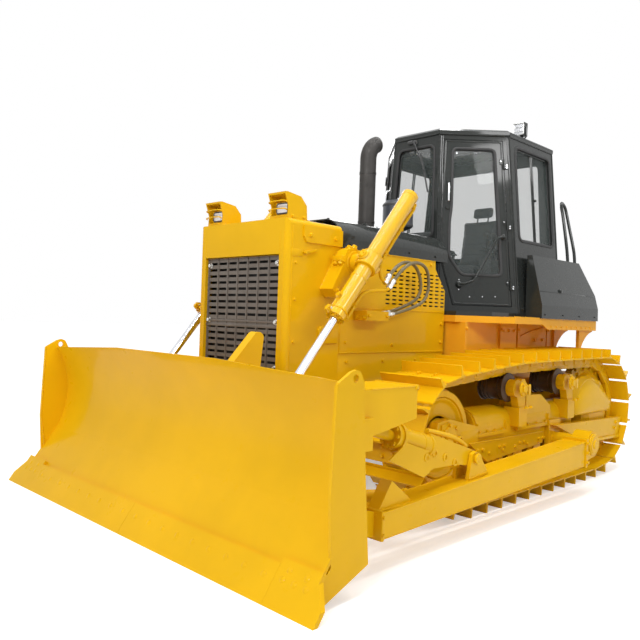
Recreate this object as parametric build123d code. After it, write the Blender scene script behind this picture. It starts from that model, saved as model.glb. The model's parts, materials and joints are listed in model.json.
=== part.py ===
from build123d import *
import os
from math import asin, atan2, cos, hypot, pi, radians, sin, sqrt, tan

# Bulldozer with a straight tilting blade, in millimetres.
# X points to the machine's left, -Y forward, Z up; the origin is on the ground at the middle of its length.

# ---- driving dimensions: machine ----
LENGTH = 5140.0
HEIGHT = 3032.0
FRONT = -LENGTH / 2
REAR = LENGTH / 2
FIT = 0.3                      # gap between pieces that seat on each other with curved faces
RUN = 6.0                      # gap beside a piece that moves

# ---- tracks ----
TRACK_X = 940.0                # centre of each track
SHOE_WIDTH = 510.0
SHOES = 37
PLATE_IN = 39.0                # pitch line to the shoe's inner face
PLATE_THICK = 11.0
GROUSER_HEIGHT = 72.0
GROUSER_TIP = 13.0
RAIL_DEPTH = 56.0              # pitch line to the face that the rollers run on
RAIL_WIDTH = 40.0
RAIL_GAP = 104.0               # between the two rails of a chain
LINK_NOTCH = (20.0, 22.0)      # half-width and depth of the notch between two links
GROUSER_REACH = PLATE_IN + PLATE_THICK + GROUSER_HEIGHT
IDLER_Y, IDLER_Z, IDLER_PITCH_R = -712.0, 545.0, 395.0
SPROCKET_Y, SPROCKET_Z, SPROCKET_PITCH_R = 1700.0, 588.0, 440.5
SPROCKET_TEETH = 27
FINAL_DRIVE_R = 330.0
DRIVE_COVER_X = (1060.0, 1092.0, 1128.0)   # joint face, where its edge starts to slope, outer face
CARRIERS = [(152.0, 855.0), (983.0, 868.0)]         # (y, z) of the upper rollers
CARRIER_R = 96.0
CARRIER_PITCH_R = 156.0
GROUND_RUN = (-590.0, 1500.0)  # ends of the flat part of the loop
TURN_R = 160.0                 # pitch radius where the flat part ends
ROLLERS = 6
ROLLER_R = 105.0
ROLLER_SPAN = (-318.0, 1200.0)

# ---- track frames ----
FRAME_HALF = 120.0             # half the width of a track frame
FRAME_Z = (410.0, 588.0)       # bottom, and where the round top starts
FRAME_TOP = 705.0
FRAME_Y = (-345.0, 1230.0)
RECOIL_COVERS = [(-330.0, 70.0, 12.0), (230.0, 760.0, 9.0)]     # (front, rear, how far it stands off the beam)
COVER_FLANGE_Z = (520.0, 545.0)
SIDE_PLATE = [(-453.0, 486.0), (625.0, 474.0), (632.0, 387.0), (-215.0, 334.0)]   # (y, z) of the roller guard
SIDE_PLATE_X = 160.0           # its outer face, from the track's middle
REAR_GUARD = [(756.0, 524.0), (2115.0, 491.0), (2040.0, 304.0), (1359.0, 319.0)]  # (y, z)
REAR_GUARD_X = 1150.0

# ---- main frame ----
RAIL_X = (250.0, 330.0)        # a side rail of the main frame
MAIN_Z = (400.0, 900.0)
MAIN_Y = (-1640.0, 1990.0)

# ---- drawbar ----
DRAWBAR_HALF = 90.0
DRAWBAR_PIN_R = 27.5
DRAWBAR_PIN_Y = REAR - DRAWBAR_HALF

# ---- engine compartment ----
ENGINE_HALF = 235.0
ENGINE_Y = (-1000.0, -20.0)
ENGINE_Z = (640.0, 1560.0)
ENGINE_MOUNTS = (-900.0, -260.0)   # front faces of its mounts on the main frame
GUARD_Y = (-1697.0, -1190.0)   # radiator guard, front to rear
GUARD_HALF = 479.0
GUARD_TOP = 1988.0
GUARD_EDGE_R = 36.0            # rounding of its front and top edges
GUARD_COVER = (-1560.0, 1840.0, 12.0)      # front end, lower edge and thickness of the cover on its side
SHEET = 8.0
GRILLE_HALF = 403.0
GRILLE_Z = (640.0, 1746.0)
PANEL_REAR = 70.0              # rear edge of the side panels
PANEL_Z = (1100.0, 1836.0)
HOOD_TOP = 2052.0
HOOD_NECK_HALF = 330.0         # the hood's flat top, and its neck that the doors swing past
HOOD_REAR = 95.0               # where its shoulders end
HOOD_SIDE_TOP = 1905.0         # where its rounded shoulders start
VENTS = (10, 9)                # columns and rows of slots in a side panel
VENT_START = (-690.0, 1464.0)
VENT_PITCH = (78.0, 31.0)
VENT_SLOT = (50.0, 12.0)
HOSE_BLOCK = (-1040.0, -800.0, 1338.0, 1406.0)     # front, rear, bottom and top of the hose manifold
HOSE_BLOCK_X = 604.0
EXHAUST_XY = (-60.0, -330.0)
EXHAUST_R = 68.0
CLEANER_XY = (60.0, -60.0)

# ---- cab ----
CAB_Z = (1440.0, 2985.0)
CAB_FRONT_HALF = (300.0, 243.0)    # half-width of the front wall, at the floor and under the roof
CAB_SIDE_X = (806.0, 666.0)
CAB_FRONT_Y = (195.0, 250.0)
CAB_PILLAR_Y = 705.0           # the corner between the angled door wall and the side wall, at the floor
CAB_REAR_Y = 1466.0
CAB_WALL = 55.0
DOOR_GAP = 6.0
DOOR_THICK = 42.0
GLASS = 6.0

# ---- fenders and side boxes ----
FENDER_Z = (1352.0, 1405.0)
FENDER_SKIRT = (860.0, 955.0, 40.0)    # front and rear of the step in the deck's skirt, and its depth
FENDER_WALL_X = 655.0          # the recessed wall between the deck and the track
FENDER_WALL_Z = 960.0
FENDER_POSTS = [90.0, 640.0, 940.0, 1490.0]
FENDER_POST = 36.0
FENDER_PANEL = (676.0, 925.0)  # front and rear edge of the panel between two posts
FENDER_PLATE = [(976.0, 1237.0), (1199.0, 1292.0), (1480.0, 1338.0)]   # upper edge of the plate behind it
FENDER_ARCH = 300.0            # length of the arch brace at the rear
FENDER_X = 950.0
FENDER_REAR = 1940.0
BOX_X = (815.0, 862.0, 968.0)  # inner face, outer face at the top, outer face at the bottom
BOX_Y = (800.0, 1710.0, 1925.0)
BOX_Z = (1405.0, 1650.0, 1950.0)

# ---- blade ----
BLADE_HALF = 1694.0            # to the end bits' tips
MOLD_HALF = 1596.0
MOLD_TOP = 1092.0
MOLD_SIDE_TOP = 1040.0
MOLD_CROWN_HALF = 560.0        # half-width of the level part of the top edge
MOLD_THICK = 16.0
MOLD_TOP_LEAN = 62.0           # how far the top edge stands in front of the crease
MOLD_HOLLOW = 112.0
MOLD_FOOT = 30.0
MOLD_END_Y = (FRONT + 208.0, FRONT + 394.0)    # front and rear of an end plate, at its top
LUG_BORE = (FRONT + 332.0, 1062.0)
LUG_BORE_R = 20.0
BEAM_FRONT = FRONT + 270.0     # the beams and ears start here, in the moldboard's curve, and are cut to it
BEAM_BACK = FRONT + 490.0      # rear face of the blade's upper beam
BRACKET_X = (1268.0, 1552.0)   # upper bracket boxes that cover the struts' front pins
BRACKET_BACK = FRONT + 876.0
POST_X = (500.0, 565.0)
EDGE_TOP = (FRONT + 120.0, 168.0)    # top of the cutting edge, on its front face
CREASE_Z = 400.0
EDGE_THICK = 25.0
EDGE_HALF = 1347.0

# ---- push arms ----
ARM_X = (1270.0, 1450.0)
ARM_MID = (ARM_X[0] + ARM_X[1]) / 2
ARM_PIVOT = (840.0, 400.0)
ARM_NOSE = (FRONT + 520.0, 300.0)    # pin between the arm and the blade
ARM_FRONT = ARM_NOSE[0] + 224.0      # front end of the arm's box section
NOSE_HALF = 40.0
HOUSING_R = 105.0
TRUNNION_R = 60.0
BRACE_PIN = (-885.0, 492.0)    # rear pin of an upper strut, on the arm
BRACE_TOP = (FRONT + 540.0, 800.0)   # its front pin, under the blade's upper bracket

# ---- lift cylinders ----
LIFT_X = 720.0
LIFT_TRUNNION = (-1173.0, 1727.0)
LIFT_EYE = (FRONT + 494.0, 640.0)
LIFT_BARREL_R = 70.0
LIFT_ROD_R = 29.0
LIFT_BELOW = 490.0             # trunnion to the gland's face
LIFT_ABOVE = 716.0             # trunnion to the barrel's closed end
LIFT_BORE_R = 55.0
PISTON_AT = 62.0               # where the piston stands at rest, counted from the trunnion towards the rod
EYE_HALF = 35.0
PIPE_R = 14.0
PIPE_BEND = 32.0
HOSE_R = 12.5
EAR_THICK = 22.0
YOKE_R = 96.0
YOKE_SHAFT_R = 38.0
BEARING_X = (520.0, 600.0)


# ================================ shape helpers ================================

def profile(points):
    """A closed face. (u, v) ends a straight run; (mid_u, mid_v, u, v) ends an arc through its middle."""
    edges = []
    last = points[-1][-2:]
    for p in points:
        end = p[-2:]
        if len(p) == 4:
            edges.append(ThreePointArc(last, p[:2], end))
        else:
            edges.append(Line(last, end))
        last = end
    return make_face(edges)


def prism_x(points, x0, x1):
    """A (y, z) outline drawn out from x0 to x1."""
    plane = Plane(origin=(x0, 0, 0), x_dir=(0, 1, 0), z_dir=(1, 0, 0))
    return extrude(plane * profile(points), amount=x1 - x0)


def prism_y(points, y0, y1):
    """An (x, z) outline drawn out from y0 to y1."""
    plane = Plane(origin=(0, y1, 0), x_dir=(1, 0, 0), z_dir=(0, -1, 0))
    return extrude(plane * profile(points), amount=y1 - y0)


def prism_z(points, z0, z1):
    """An (x, y) outline drawn out from z0 to z1."""
    return extrude(Plane.XY.offset(z0) * profile(points), amount=z1 - z0)


def block(x0, x1, y0, y1, z0, z1):
    return Pos((x0 + x1) / 2, (y0 + y1) / 2, (z0 + z1) / 2) * Box(x1 - x0, y1 - y0, z1 - z0)


def rod(p, q, radius, bore=0.0):
    """A round bar, or a tube, from p to q."""
    axis = Vector(*q) - Vector(*p)
    plane = Plane(origin=p, z_dir=axis)
    low = (Align.CENTER, Align.CENTER, Align.MIN)
    bar = plane * Cylinder(radius, axis.length, align=low)
    if bore:
        bar -= plane * Cylinder(bore, axis.length, align=low)
    return bar


def tube(points, bend, radius):
    """A round tube of straight runs, joined at the points by arcs of the given bend radius."""
    corners = [Vector(*p) for p in points]
    last = corners[0]
    path = Curve()
    for before, corner, after in zip(corners, corners[1:], corners[2:]):
        arriving, leaving = (corner - before).normalized(), (after - corner).normalized()
        half = radians(arriving.get_angle(leaving) / 2)
        start = corner - arriving * (bend * tan(half))
        end = corner + leaving * (bend * tan(half))
        middle = corner + (leaving - arriving).normalized() * (bend / cos(half) - bend)
        path += Line(last, start) + ThreePointArc(start, middle, end)
        last = end
    path += Line(last, corners[-1])
    section = Plane(origin=corners[0], z_dir=corners[1] - corners[0]) * Circle(radius)
    return sweep(section, path=path)


def turned_x(points, y, z):
    """An (x, radius) outline turned about the line along X through (y, z)."""
    face = make_face(Polyline(*[(x, y, z + r) for x, r in points], close=True))
    return revolve(face, axis=Axis((0, y, z), (1, 0, 0)))


def turned_z(points, x, y):
    """A (radius, z) outline turned about the upright line through (x, y)."""
    face = make_face(Polyline(*[(x + r, y, z) for r, z in points], close=True))
    return revolve(face, axis=Axis((x, y, 0), (0, 0, 1)))


def other_side(part):
    return mirror(part, Plane.YZ)


nodes = {}


def node(name, *parts):
    solids = [s for part in parts for s in part.solids()]
    nodes[name] = solids[0] if len(solids) == 1 else Compound(solids)


def node_pair(name, part):
    """The left piece and its mirror image, as two nodes."""
    node(name + "_left", part)
    node(name + "_right", other_side(part))


# ================================ tracks ================================

def belt(circles):
    """The pitch line round a ring of (y, z, radius) circles: straight and arc stretches, top run first."""
    lines = []
    for a, b in zip(circles, circles[1:] + circles[:1]):
        gap = hypot(b[0] - a[0], b[1] - a[1])
        heading = atan2(b[1] - a[1], b[0] - a[0]) + asin((b[2] - a[2]) / gap)
        length = sqrt(gap ** 2 - (b[2] - a[2]) ** 2)
        start = (a[0] - a[2] * sin(heading), a[1] + a[2] * cos(heading))
        lines.append((start, heading, length))
    stretches = []
    for i, (start, heading, length) in enumerate(lines):
        stretches.append(("line", start, heading, length))
        centre = circles[(i + 1) % len(circles)]
        turn = (heading - lines[(i + 1) % len(lines)][1]) % (2 * pi)
        stretches.append(("arc", centre, heading, turn * centre[2]))
    return stretches


def along(stretches, s):
    """The point at distance s along the pitch line."""
    s %= sum(stretch[3] for stretch in stretches)
    for kind, place, heading, length in stretches:
        if s <= length:
            break
        s -= length
    if kind == "line":
        return (place[0] + s * cos(heading), place[1] + s * sin(heading))
    angle = heading - s / place[2]
    return (place[0] - place[2] * sin(angle), place[1] + place[2] * cos(angle))


GROUND_PITCH_Z = GROUSER_REACH
LOOP = belt([
    (IDLER_Y, IDLER_Z, IDLER_PITCH_R),
    (CARRIERS[0][0], CARRIERS[0][1], CARRIER_PITCH_R),
    (CARRIERS[1][0], CARRIERS[1][1], CARRIER_PITCH_R),
    (SPROCKET_Y, SPROCKET_Z, SPROCKET_PITCH_R),
    (GROUND_RUN[1], GROUND_PITCH_Z + TURN_R, TURN_R),
    (GROUND_RUN[0], GROUND_PITCH_Z + TURN_R, TURN_R),
])
LOOP_LENGTH = sum(stretch[3] for stretch in LOOP)
PITCH = LOOP_LENGTH / SHOES
FIRST_PIN = 66.0               # where the first pin lies along the loop
PINS = [along(LOOP, FIRST_PIN + k * PITCH) for k in range(SHOES)]


def shoe_ring(local_points):
    """One ring of (y, z) points: the same local (along, outward) points on every link, pin to pin."""
    ring = []
    for a, b in zip(PINS, PINS[1:] + PINS[:1]):
        length = hypot(b[0] - a[0], b[1] - a[1])
        ty, tz = (b[0] - a[0]) / length, (b[1] - a[1]) / length
        for u, v in local_points:
            ring.append((a[0] + ty * u - tz * v, a[1] + tz * u + ty * v))
    return ring


def track():
    outer = PLATE_IN + PLATE_THICK
    grouser = 0.80 * PITCH
    lip = 8.0
    shoe = [
        (lip, outer - lip),
        (lip + 6, outer),
        (grouser, outer),
        (grouser + 5, outer + GROUSER_HEIGHT),
        (grouser + 5 + GROUSER_TIP, outer + GROUSER_HEIGHT),
        (grouser + 10 + GROUSER_TIP, outer),
    ]
    half = SHOE_WIDTH / 2
    band = prism_x(shoe_ring(shoe), TRACK_X - half, TRACK_X + half)
    band -= prism_x(shoe_ring([(0, PLATE_IN)]), TRACK_X - half, TRACK_X + half)
    rail_in = RAIL_GAP / 2
    rails = []
    notch, depth = LINK_NOTCH
    link = [(0, depth - RAIL_DEPTH), (notch, -RAIL_DEPTH), (PITCH - notch, -RAIL_DEPTH)]
    for side in (-1, 1):
        near, far = sorted((TRACK_X + side * rail_in, TRACK_X + side * (rail_in + RAIL_WIDTH)))
        ring = prism_x(shoe_ring([(0, PLATE_IN + 1)]), near, far)
        ring -= prism_x(shoe_ring(link), near, far)
        rails.append(ring)
    return band + rails[0] + rails[1]


def idler():
    """Rim that the rails run on, a raised middle flange, and a dished disc."""
    half_link = PITCH / 2
    rim = sqrt(IDLER_PITCH_R ** 2 - half_link ** 2) - RAIL_DEPTH - FIT
    flange = rim + 18
    half = RAIL_GAP / 2 - 5
    wide = RAIL_GAP / 2 + RAIL_WIDTH
    points = [
        (-wide, 0), (-wide, 90), (-22, 120), (-22, rim - 50), (-wide, rim - 40), (-wide, rim),
        (-half, rim), (-half, flange), (half, flange), (half, rim), (wide, rim),
        (wide, rim - 40), (62, rim - 55), (30, 150), (wide, 100), (wide, 0),
    ]
    return turned_x([(TRACK_X + x, r) for x, r in points], IDLER_Y, IDLER_Z)


def sprocket():
    """Toothed ring bolted round the final drive."""
    tip = SPROCKET_PITCH_R + 17
    root = SPROCKET_PITCH_R - 34
    step = 2 * pi / SPROCKET_TEETH
    outline = []
    for k in range(SPROCKET_TEETH):
        for share, r in ((0.0, root), (0.25, root), (0.45, tip), (0.80, tip)):
            a = (k + share) * step
            outline.append((SPROCKET_Y + r * cos(a), SPROCKET_Z + r * sin(a)))
    ring = prism_x(outline, TRACK_X - 30, TRACK_X + 30)
    return ring - rod((TRACK_X - 31, SPROCKET_Y, SPROCKET_Z), (TRACK_X + 31, SPROCKET_Y, SPROCKET_Z),
                      FINAL_DRIVE_R)


def drive_fan(x, share):
    """The cover's fan-shaped outline at x, shrunk towards its middle."""
    outline = [(-569, -28), (-569, 131), (-505, 236, -277, 321), (-190, 318, -120, 270), (252, 65), (252, -28)]
    middle = (-200, 110)
    placed = []
    for p in outline:
        placed.append([(middle[i % 2] + (c - middle[i % 2]) * share) for i, c in enumerate(p)])
    plane = Plane(origin=(x, SPROCKET_Y, SPROCKET_Z), x_dir=(0, 1, 0), z_dir=(1, 0, 0))
    return plane * profile([tuple(p) for p in placed])


def drive_cover():
    """Cast cover on the outer side: a rounded crown, a straight rear slope, a flat foot, sloped edges."""
    joint, shoulder, face = DRIVE_COVER_X
    rim = extrude(drive_fan(joint, 1.0), amount=shoulder - joint)
    return rim + loft([drive_fan(shoulder, 1.0), drive_fan(face, 0.86)], ruled=True)


def final_drive():
    """Turned housing from the main frame out through the sprocket, under its cover."""
    points = [
        (RAIL_X[1], 0), (RAIL_X[1], 230), (560, 250), (640, 330), (TRACK_X - 60, 330),
        (TRACK_X - 30, FINAL_DRIVE_R), (TRACK_X + 30, FINAL_DRIVE_R), (TRACK_X + 60, 322),
        (TRACK_X + 118, 270), (TRACK_X + 150, 180), (TRACK_X + 158, 0),
    ]
    return turned_x(points, SPROCKET_Y, SPROCKET_Z) + drive_cover()


def roller_profile(radius):
    """A double-flanged roller between its end collars."""
    tread = RAIL_GAP / 2 + RAIL_WIDTH
    return [
        (-tread - 24, 0), (-tread - 24, radius - 20), (-tread - 14, radius + 16), (-tread - 3, radius + 16),
        (-tread - 3, radius), (tread + 3, radius), (tread + 3, radius + 16), (tread + 14, radius + 16),
        (tread + 24, radius - 20), (tread + 24, 0),
    ]


def roller_places():
    first, last = ROLLER_SPAN
    return [first + i * (last - first) / (ROLLERS - 1) for i in range(ROLLERS)]


ROLLER_Z = GROUND_PITCH_Z + RAIL_DEPTH + ROLLER_R
ROLLER_HALF = RAIL_GAP / 2 + RAIL_WIDTH + 24


def track_rollers():
    points = [(TRACK_X + x, r) for x, r in roller_profile(ROLLER_R - FIT)]
    return [turned_x(points, y, ROLLER_Z) for y in roller_places()]


def carrier_rollers():
    points = [(TRACK_X + x, r) for x, r in roller_profile(CARRIER_R)]
    return [turned_x(points, y, z) for y, z in CARRIERS]


def idler_yoke():
    """Outline of the cheek that carries the idler's shaft at the front of the recoil beam."""
    y, z = IDLER_Y, IDLER_Z
    return [(y - 138, z + 55), (y - 124, z + 122), (y + 10, z + 137), (FRAME_Y[0] + 11, z + 55),
            (FRAME_Y[0] + 11, z - 75), (y + 152, z - 75), (y + 72, z - 25), (y - 108, z + 15)]


def round_topped(side, stand_off, y0, y1, low):
    """A length of the beam's round-topped section, standing off it all round."""
    half = side + stand_off
    shoulder = FRAME_Z[1]
    return prism_y([(TRACK_X - half, low), (TRACK_X + half, low), (TRACK_X + half, shoulder),
                    (TRACK_X, FRAME_TOP + stand_off, TRACK_X - half, shoulder)], y0, y1)


def recoil_covers():
    """Two round-topped covers over the recoil spring, each with a flange along its outer foot."""
    low, high = COVER_FLANGE_Z
    covers = []
    for y0, y1, stand_off in RECOIL_COVERS:
        cover = round_topped(FRAME_HALF, stand_off, y0, y1, low)
        inner_side = TRACK_X - FRAME_HALF
        covers.append(cover - block(inner_side - 40, inner_side, y0, y1, low, FRAME_TOP))
        covers.append(block(TRACK_X, TRACK_X + FRAME_HALF + 30, y0, y1, low, high))
    return covers


def carrier_bracket(y, z):
    """Foot on the beam, a post with a rounded head behind the roller, and the collar on its shaft."""
    x0 = TRACK_X + ROLLER_HALF
    x1 = x0 + 60
    foot_top = z - 150
    post = [(y + 60, foot_top - 1), (y + 60, z + 10), (y, z + 10), (y, z - 40), (y + 40, foot_top - 1)]
    head = [(y + 60, foot_top - 1), (y + 60, z + 50), (y + 76, z + 68), (y + 118, z + 68), (y + 138, z + 48),
            (y + 138, foot_top - 1)]
    bracket = block(TRACK_X + 60, x1 + 16, y + 20, y + 142, FRAME_Z[1] - 30, foot_top)
    bracket += prism_x(head, x0, x1) + prism_x(post, x0, x1)
    return bracket + rod((x0, y, z), (x1 + 8, y, z), 66)


def track_frame():
    """Recoil beam with its covers, idler yoke, roller guards, carrier brackets and the rear guard."""
    x0, x1 = TRACK_X - FRAME_HALF, TRACK_X + FRAME_HALF
    low, shoulder = FRAME_Z
    rear_block = prism_x([(411, 560), (411, 784), (652, 778), (829, 672), (829, 560)], x0, x1)
    frame = round_topped(FRAME_HALF, 0, *FRAME_Y, low) + rear_block + recoil_covers()
    idler_half = RAIL_GAP / 2 + RAIL_WIDTH
    for a, b in ((TRACK_X + idler_half, x1 + 30), (x0 - 30, TRACK_X - idler_half)):
        frame += prism_x(idler_yoke(), a, b)
    for y in roller_places():
        for a, b in ((TRACK_X + ROLLER_HALF, x1 + 10), (x0 - 10, TRACK_X - ROLLER_HALF)):
            frame += block(a, b, y - 55, y + 55, ROLLER_Z - 40, low + 48)
    for y, z in CARRIERS:
        frame += carrier_bracket(y, z)
    frame += prism_x(SIDE_PLATE, x1 - 1, TRACK_X + SIDE_PLATE_X)
    pivot_y, pivot_z = ARM_PIVOT
    frame += block(x1 - 1, x1 + 40, pivot_y - 100, pivot_y + 100, 325, 560)
    frame += rod((x1 + 39, pivot_y, pivot_z), (ARM_X[1] - 28, pivot_y, pivot_z), TRUNNION_R)
    frame += block(x1 - 1, x1 + 41, pivot_y + 160, pivot_y + 360, 430, 500)
    return frame + prism_x(REAR_GUARD, x1 + 40, REAR_GUARD_X)


def build_tracks():
    node_pair("track", track())
    wheel = idler()
    node("idlers", wheel, other_side(wheel))
    ring = sprocket()
    node("sprockets", ring, other_side(ring))
    drive = final_drive()
    node("final_drives", drive, other_side(drive))
    rollers = track_rollers()
    node("track_rollers", *rollers, *[other_side(r) for r in rollers])
    carriers = carrier_rollers()
    node("carrier_rollers", *carriers, *[other_side(c) for c in carriers])
    node_pair("track_frame", track_frame())


# ================================ main frame and driveline ================================

def main_frame():
    """Two deep rails with a belly plate, cross members and the front bolster that carries the guard."""
    x0, x1 = RAIL_X
    low, top = MAIN_Z
    front, rear = MAIN_Y
    rail = [(front, 640), (front, top), (rear, top), (rear, 520), (rear - 160, low), (front + 420, low)]
    frame = prism_x(rail, x0, x1) + prism_x(rail, -x1, -x0)
    frame += block(-x0, x0, front + 420, rear - 160, low, low + 20)
    frame += block(-x0, x0, front, front + 60, 640, top)
    frame += block(-x0, x0, rear - 30, rear, 520, top)
    inner = GUARD_HALF - SHEET
    for side in (-1, 1):
        a, b = sorted((side * x1, side * inner))
        frame += block(a, b, front + 60, front + 420, 660, 780)
        a, b = sorted((side * x0, side * ENGINE_HALF))
        for y in ENGINE_MOUNTS:
            frame += block(a, b, y, y + 120, ENGINE_Z[0] + 60, ENGINE_Z[0] + 160)
    return frame


def engine_block():
    """One plain mass: crankcase, heads and sump."""
    return block(-ENGINE_HALF, ENGINE_HALF, *ENGINE_Y, *ENGINE_Z)


def rear_case():
    """Transmission and steering case under the cab."""
    front, rear = 60, MAIN_Y[1] - 35
    outline = [(front, 560), (front, 1180), (700, 1250), (rear - 55, 1250), (rear, 1000), (rear, 560),
               (rear - 255, 440), (400, 440)]
    return prism_x(outline, -RAIL_X[0], RAIL_X[0])


def cross_shafts():
    """Pivot shaft behind and equalizer bar in front, which carry the machine on its track frames."""
    inner = TRACK_X - FRAME_HALF
    pieces = []
    for side in (-1, 1):
        pieces.append(rod((side * RAIL_X[1], ARM_PIVOT[0], 530), (side * inner, ARM_PIVOT[0], 530), 62))
        bar = prism_x([(-300, 470), (-300, 560), (-180, 560), (-180, 470)], RAIL_X[1], inner)
        pieces.append(bar if side > 0 else other_side(bar))
    return pieces


def drawbar():
    """Rear hitch: a plate with two jaws and a pin hole."""
    y0 = MAIN_Y[1]
    mount = block(-200, 200, y0, y0 + 40, 520, 860)
    half = DRAWBAR_HALF
    jaw = [(-half, y0 + 40), (-half, DRAWBAR_PIN_Y), (0, REAR, half, DRAWBAR_PIN_Y), (half, y0 + 40)]
    for z in (540, 660):
        mount += prism_z(jaw, z, z + 50)
    mount += block(-20, 20, y0 + 40, y0 + 300, 590, 660)
    return mount - rod((0, DRAWBAR_PIN_Y, 500), (0, DRAWBAR_PIN_Y, 760), DRAWBAR_PIN_R)


def build_driveline():
    node("main_frame", main_frame())
    node("engine_block", engine_block())
    node("rear_case", rear_case())
    node("cross_shafts", *cross_shafts())
    node("drawbar", drawbar())


# ================================ engine compartment ================================

def rounded(a, b, r, toward):
    """An arc of radius r from point a to point b, bulging towards a corner: (mid_u, mid_v, u, v)."""
    k = r * (1 - cos(pi / 4))
    mid = [c + (k if m > c else -k) for c, m in zip(toward, ((a[0] + b[0]) / 2, (a[1] + b[1]) / 2))]
    return (*mid, *b)


def radiator_guard():
    """Heavy sheet box round the radiator, open behind and below, with the grille's opening in front."""
    front, rear = GUARD_Y
    half, top, r = GUARD_HALF, GUARD_TOP, GUARD_EDGE_R
    bottom = 620.0
    sides = [(-half, bottom), (half, bottom), (half, top - r),
             rounded((half, top - r), (half - r, top), r, (half, top)), (-half + r, top),
             rounded((-half + r, top), (-half, top - r), r, (-half, top))]
    plan = [(half, rear), (-half, rear), (-half, front + r),
            rounded((-half, front + r), (-half + r, front), r, (-half, front)), (half - r, front),
            rounded((half - r, front), (half, front + r), r, (half, front))]
    shell = prism_y(sides, front, rear) & prism_z(plan, bottom, top)
    inner_half = half - SHEET
    shell -= block(-inner_half, inner_half, front + 40, rear + 1, bottom - 1, top - 40)
    shell -= block(-GRILLE_HALF, GRILLE_HALF, front - 1, front + 41, *GRILLE_Z)
    cover_front, cover_low, thick = GUARD_COVER
    cover = [(cover_front, cover_low + 40), (cover_front + 30, cover_low), (rear, cover_low), (rear, top - r),
             (cover_front, top - r)]
    for side in (-1, 1):
        shell += prism_x(cover, *sorted((side * (half - 1), side * (half + thick))))
    return shell


def grille():
    """Perforated plate: seven columns of level slots."""
    y0 = GUARD_Y[0] + 22
    half = GRILLE_HALF - FIT
    low, top = GRILLE_Z[0] + FIT, GRILLE_Z[1] - FIT
    plate = block(-half, half, y0, y0 + 6, low, top)
    columns = 7
    rows = 24
    pitch_x = 2 * (half - 12) / columns
    pitch_z = (top - low - 30) / rows
    slots = []
    for i in range(columns):
        x = -half + 12 + (i + 0.5) * pitch_x
        for j in range(rows):
            z = low + 15 + (j + 0.5) * pitch_z
            slots.append(block(x - 44, x + 44, y0 - 1, y0 + 7, z - 9, z + 9))
    return plate - slots


def radiator():
    y0 = GUARD_Y[0] + 110
    half = GUARD_HALF - SHEET
    return block(-half, half, y0, y0 + 180, 900, 1900)


def hood_section(inset):
    """The hood's shape across the machine, with rounded shoulders, drawn down to its lower edge."""
    half, top = GUARD_HALF - inset, HOOD_TOP - inset
    neck, side = HOOD_NECK_HALF, HOOD_SIDE_TOP - inset * 0.6
    low = PANEL_Z[1] - (1 if inset else 0)
    mid_x, mid_z = (half + neck) / 2 + 22, (side + top) / 2 + 26
    return [(-half, low), (half, low), (half, side), (mid_x, mid_z, neck, top), (-neck, top),
            (-mid_x, mid_z, -half, side)]


def hood_neck(inset):
    half = HOOD_NECK_HALF - inset
    low = PANEL_Z[1] - (1 if inset else 0)
    return [(-half, low), (half, low), (half, HOOD_TOP - inset), (-half, HOOD_TOP - inset)]


def engine_hood():
    """Black pressed cover with rounded shoulders and a narrow neck in front of the cab, open below."""
    front, rear = GUARD_Y[1], CAB_FRONT_Y[0] - 12
    hood = prism_y(hood_section(0), front, HOOD_REAR) + prism_y(hood_neck(0), HOOD_REAR - 1, rear)
    inner = prism_y(hood_section(SHEET), front - 1, HOOD_REAR - SHEET)
    return hood - (inner + prism_y(hood_neck(SHEET), HOOD_REAR - SHEET - 1, rear + 1))


def side_panel():
    """Yellow side cover with rows of vent slots, its rear top corner cut off, and the hose manifold."""
    y0, y1 = GUARD_Y[1], PANEL_REAR
    low, top = PANEL_Z
    inner, outer = GUARD_HALF - SHEET, GUARD_HALF
    cut = [(y1, 1600), (-70, 1770), (-75, top)]
    panel = prism_x([(y0, low), (y1, low), *cut, (y0, top)], inner, outer)
    columns, rows = VENTS
    slots = []
    for i in range(columns):
        for j in range(rows):
            y = VENT_START[0] + i * VENT_PITCH[0]
            z = VENT_START[1] + j * VENT_PITCH[1]
            slots.append(block(inner - 1, outer + 1, y, y + VENT_SLOT[0], z, z + VENT_SLOT[1]))
    return panel - slots + block(outer - 1, HOSE_BLOCK_X, *HOSE_BLOCK)


def headlamp():
    """Hooded box lamp: sloping visor, recessed lens box behind it."""
    y0 = GUARD_Y[0] - 4
    base = GUARD_TOP
    side = [(y0 + 36, base), (y0 + 40, base + 80), (y0 + 8, base + 171), (y0 + 30, base + 173),
            (y0 + 150, base + 156), (y0 + 204, base + 100), (y0 + 212, base)]
    x0, x1 = 265.0, 439.0
    lamp = prism_x(side, x0, x1)
    lamp -= block(x0 + 8, x1 - 8, y0 - 1, y0 + 110, base + 24, base + 158)
    lens = block(x0 + 24, x1 - 24, y0 + 62, y0 + 110, base + 30, base + 112)
    return lamp + lens


def exhaust_pipe():
    """Stack that curves back at its open top."""
    x, y = EXHAUST_XY
    low, bend, r = HOOD_TOP, 2690.0, EXHAUST_R
    path = Line((x, y, low), (x, y, bend))
    turn = 70.0
    end = (x, y + 150 * (1 - cos(radians(turn))), bend + 150 * sin(radians(turn)))
    mid = (x, y + 150 * (1 - cos(radians(turn / 2))), bend + 150 * sin(radians(turn / 2)))
    path += ThreePointArc((x, y, bend), mid, end)
    wall = sweep(Plane(origin=(x, y, low)) * Circle(r), path=path)
    bore = sweep(Plane(origin=(x, y, low)) * Circle(r - 6), path=path)
    return wall - bore


def air_precleaner():
    x, y = CLEANER_XY
    base = HOOD_TOP
    points = [(0, base), (60, base), (60, base + 58), (125, base + 88), (130, base + 108), (130, base + 278),
              (110, base + 310), (0, base + 320)]
    return turned_z(points, x, y)


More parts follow.
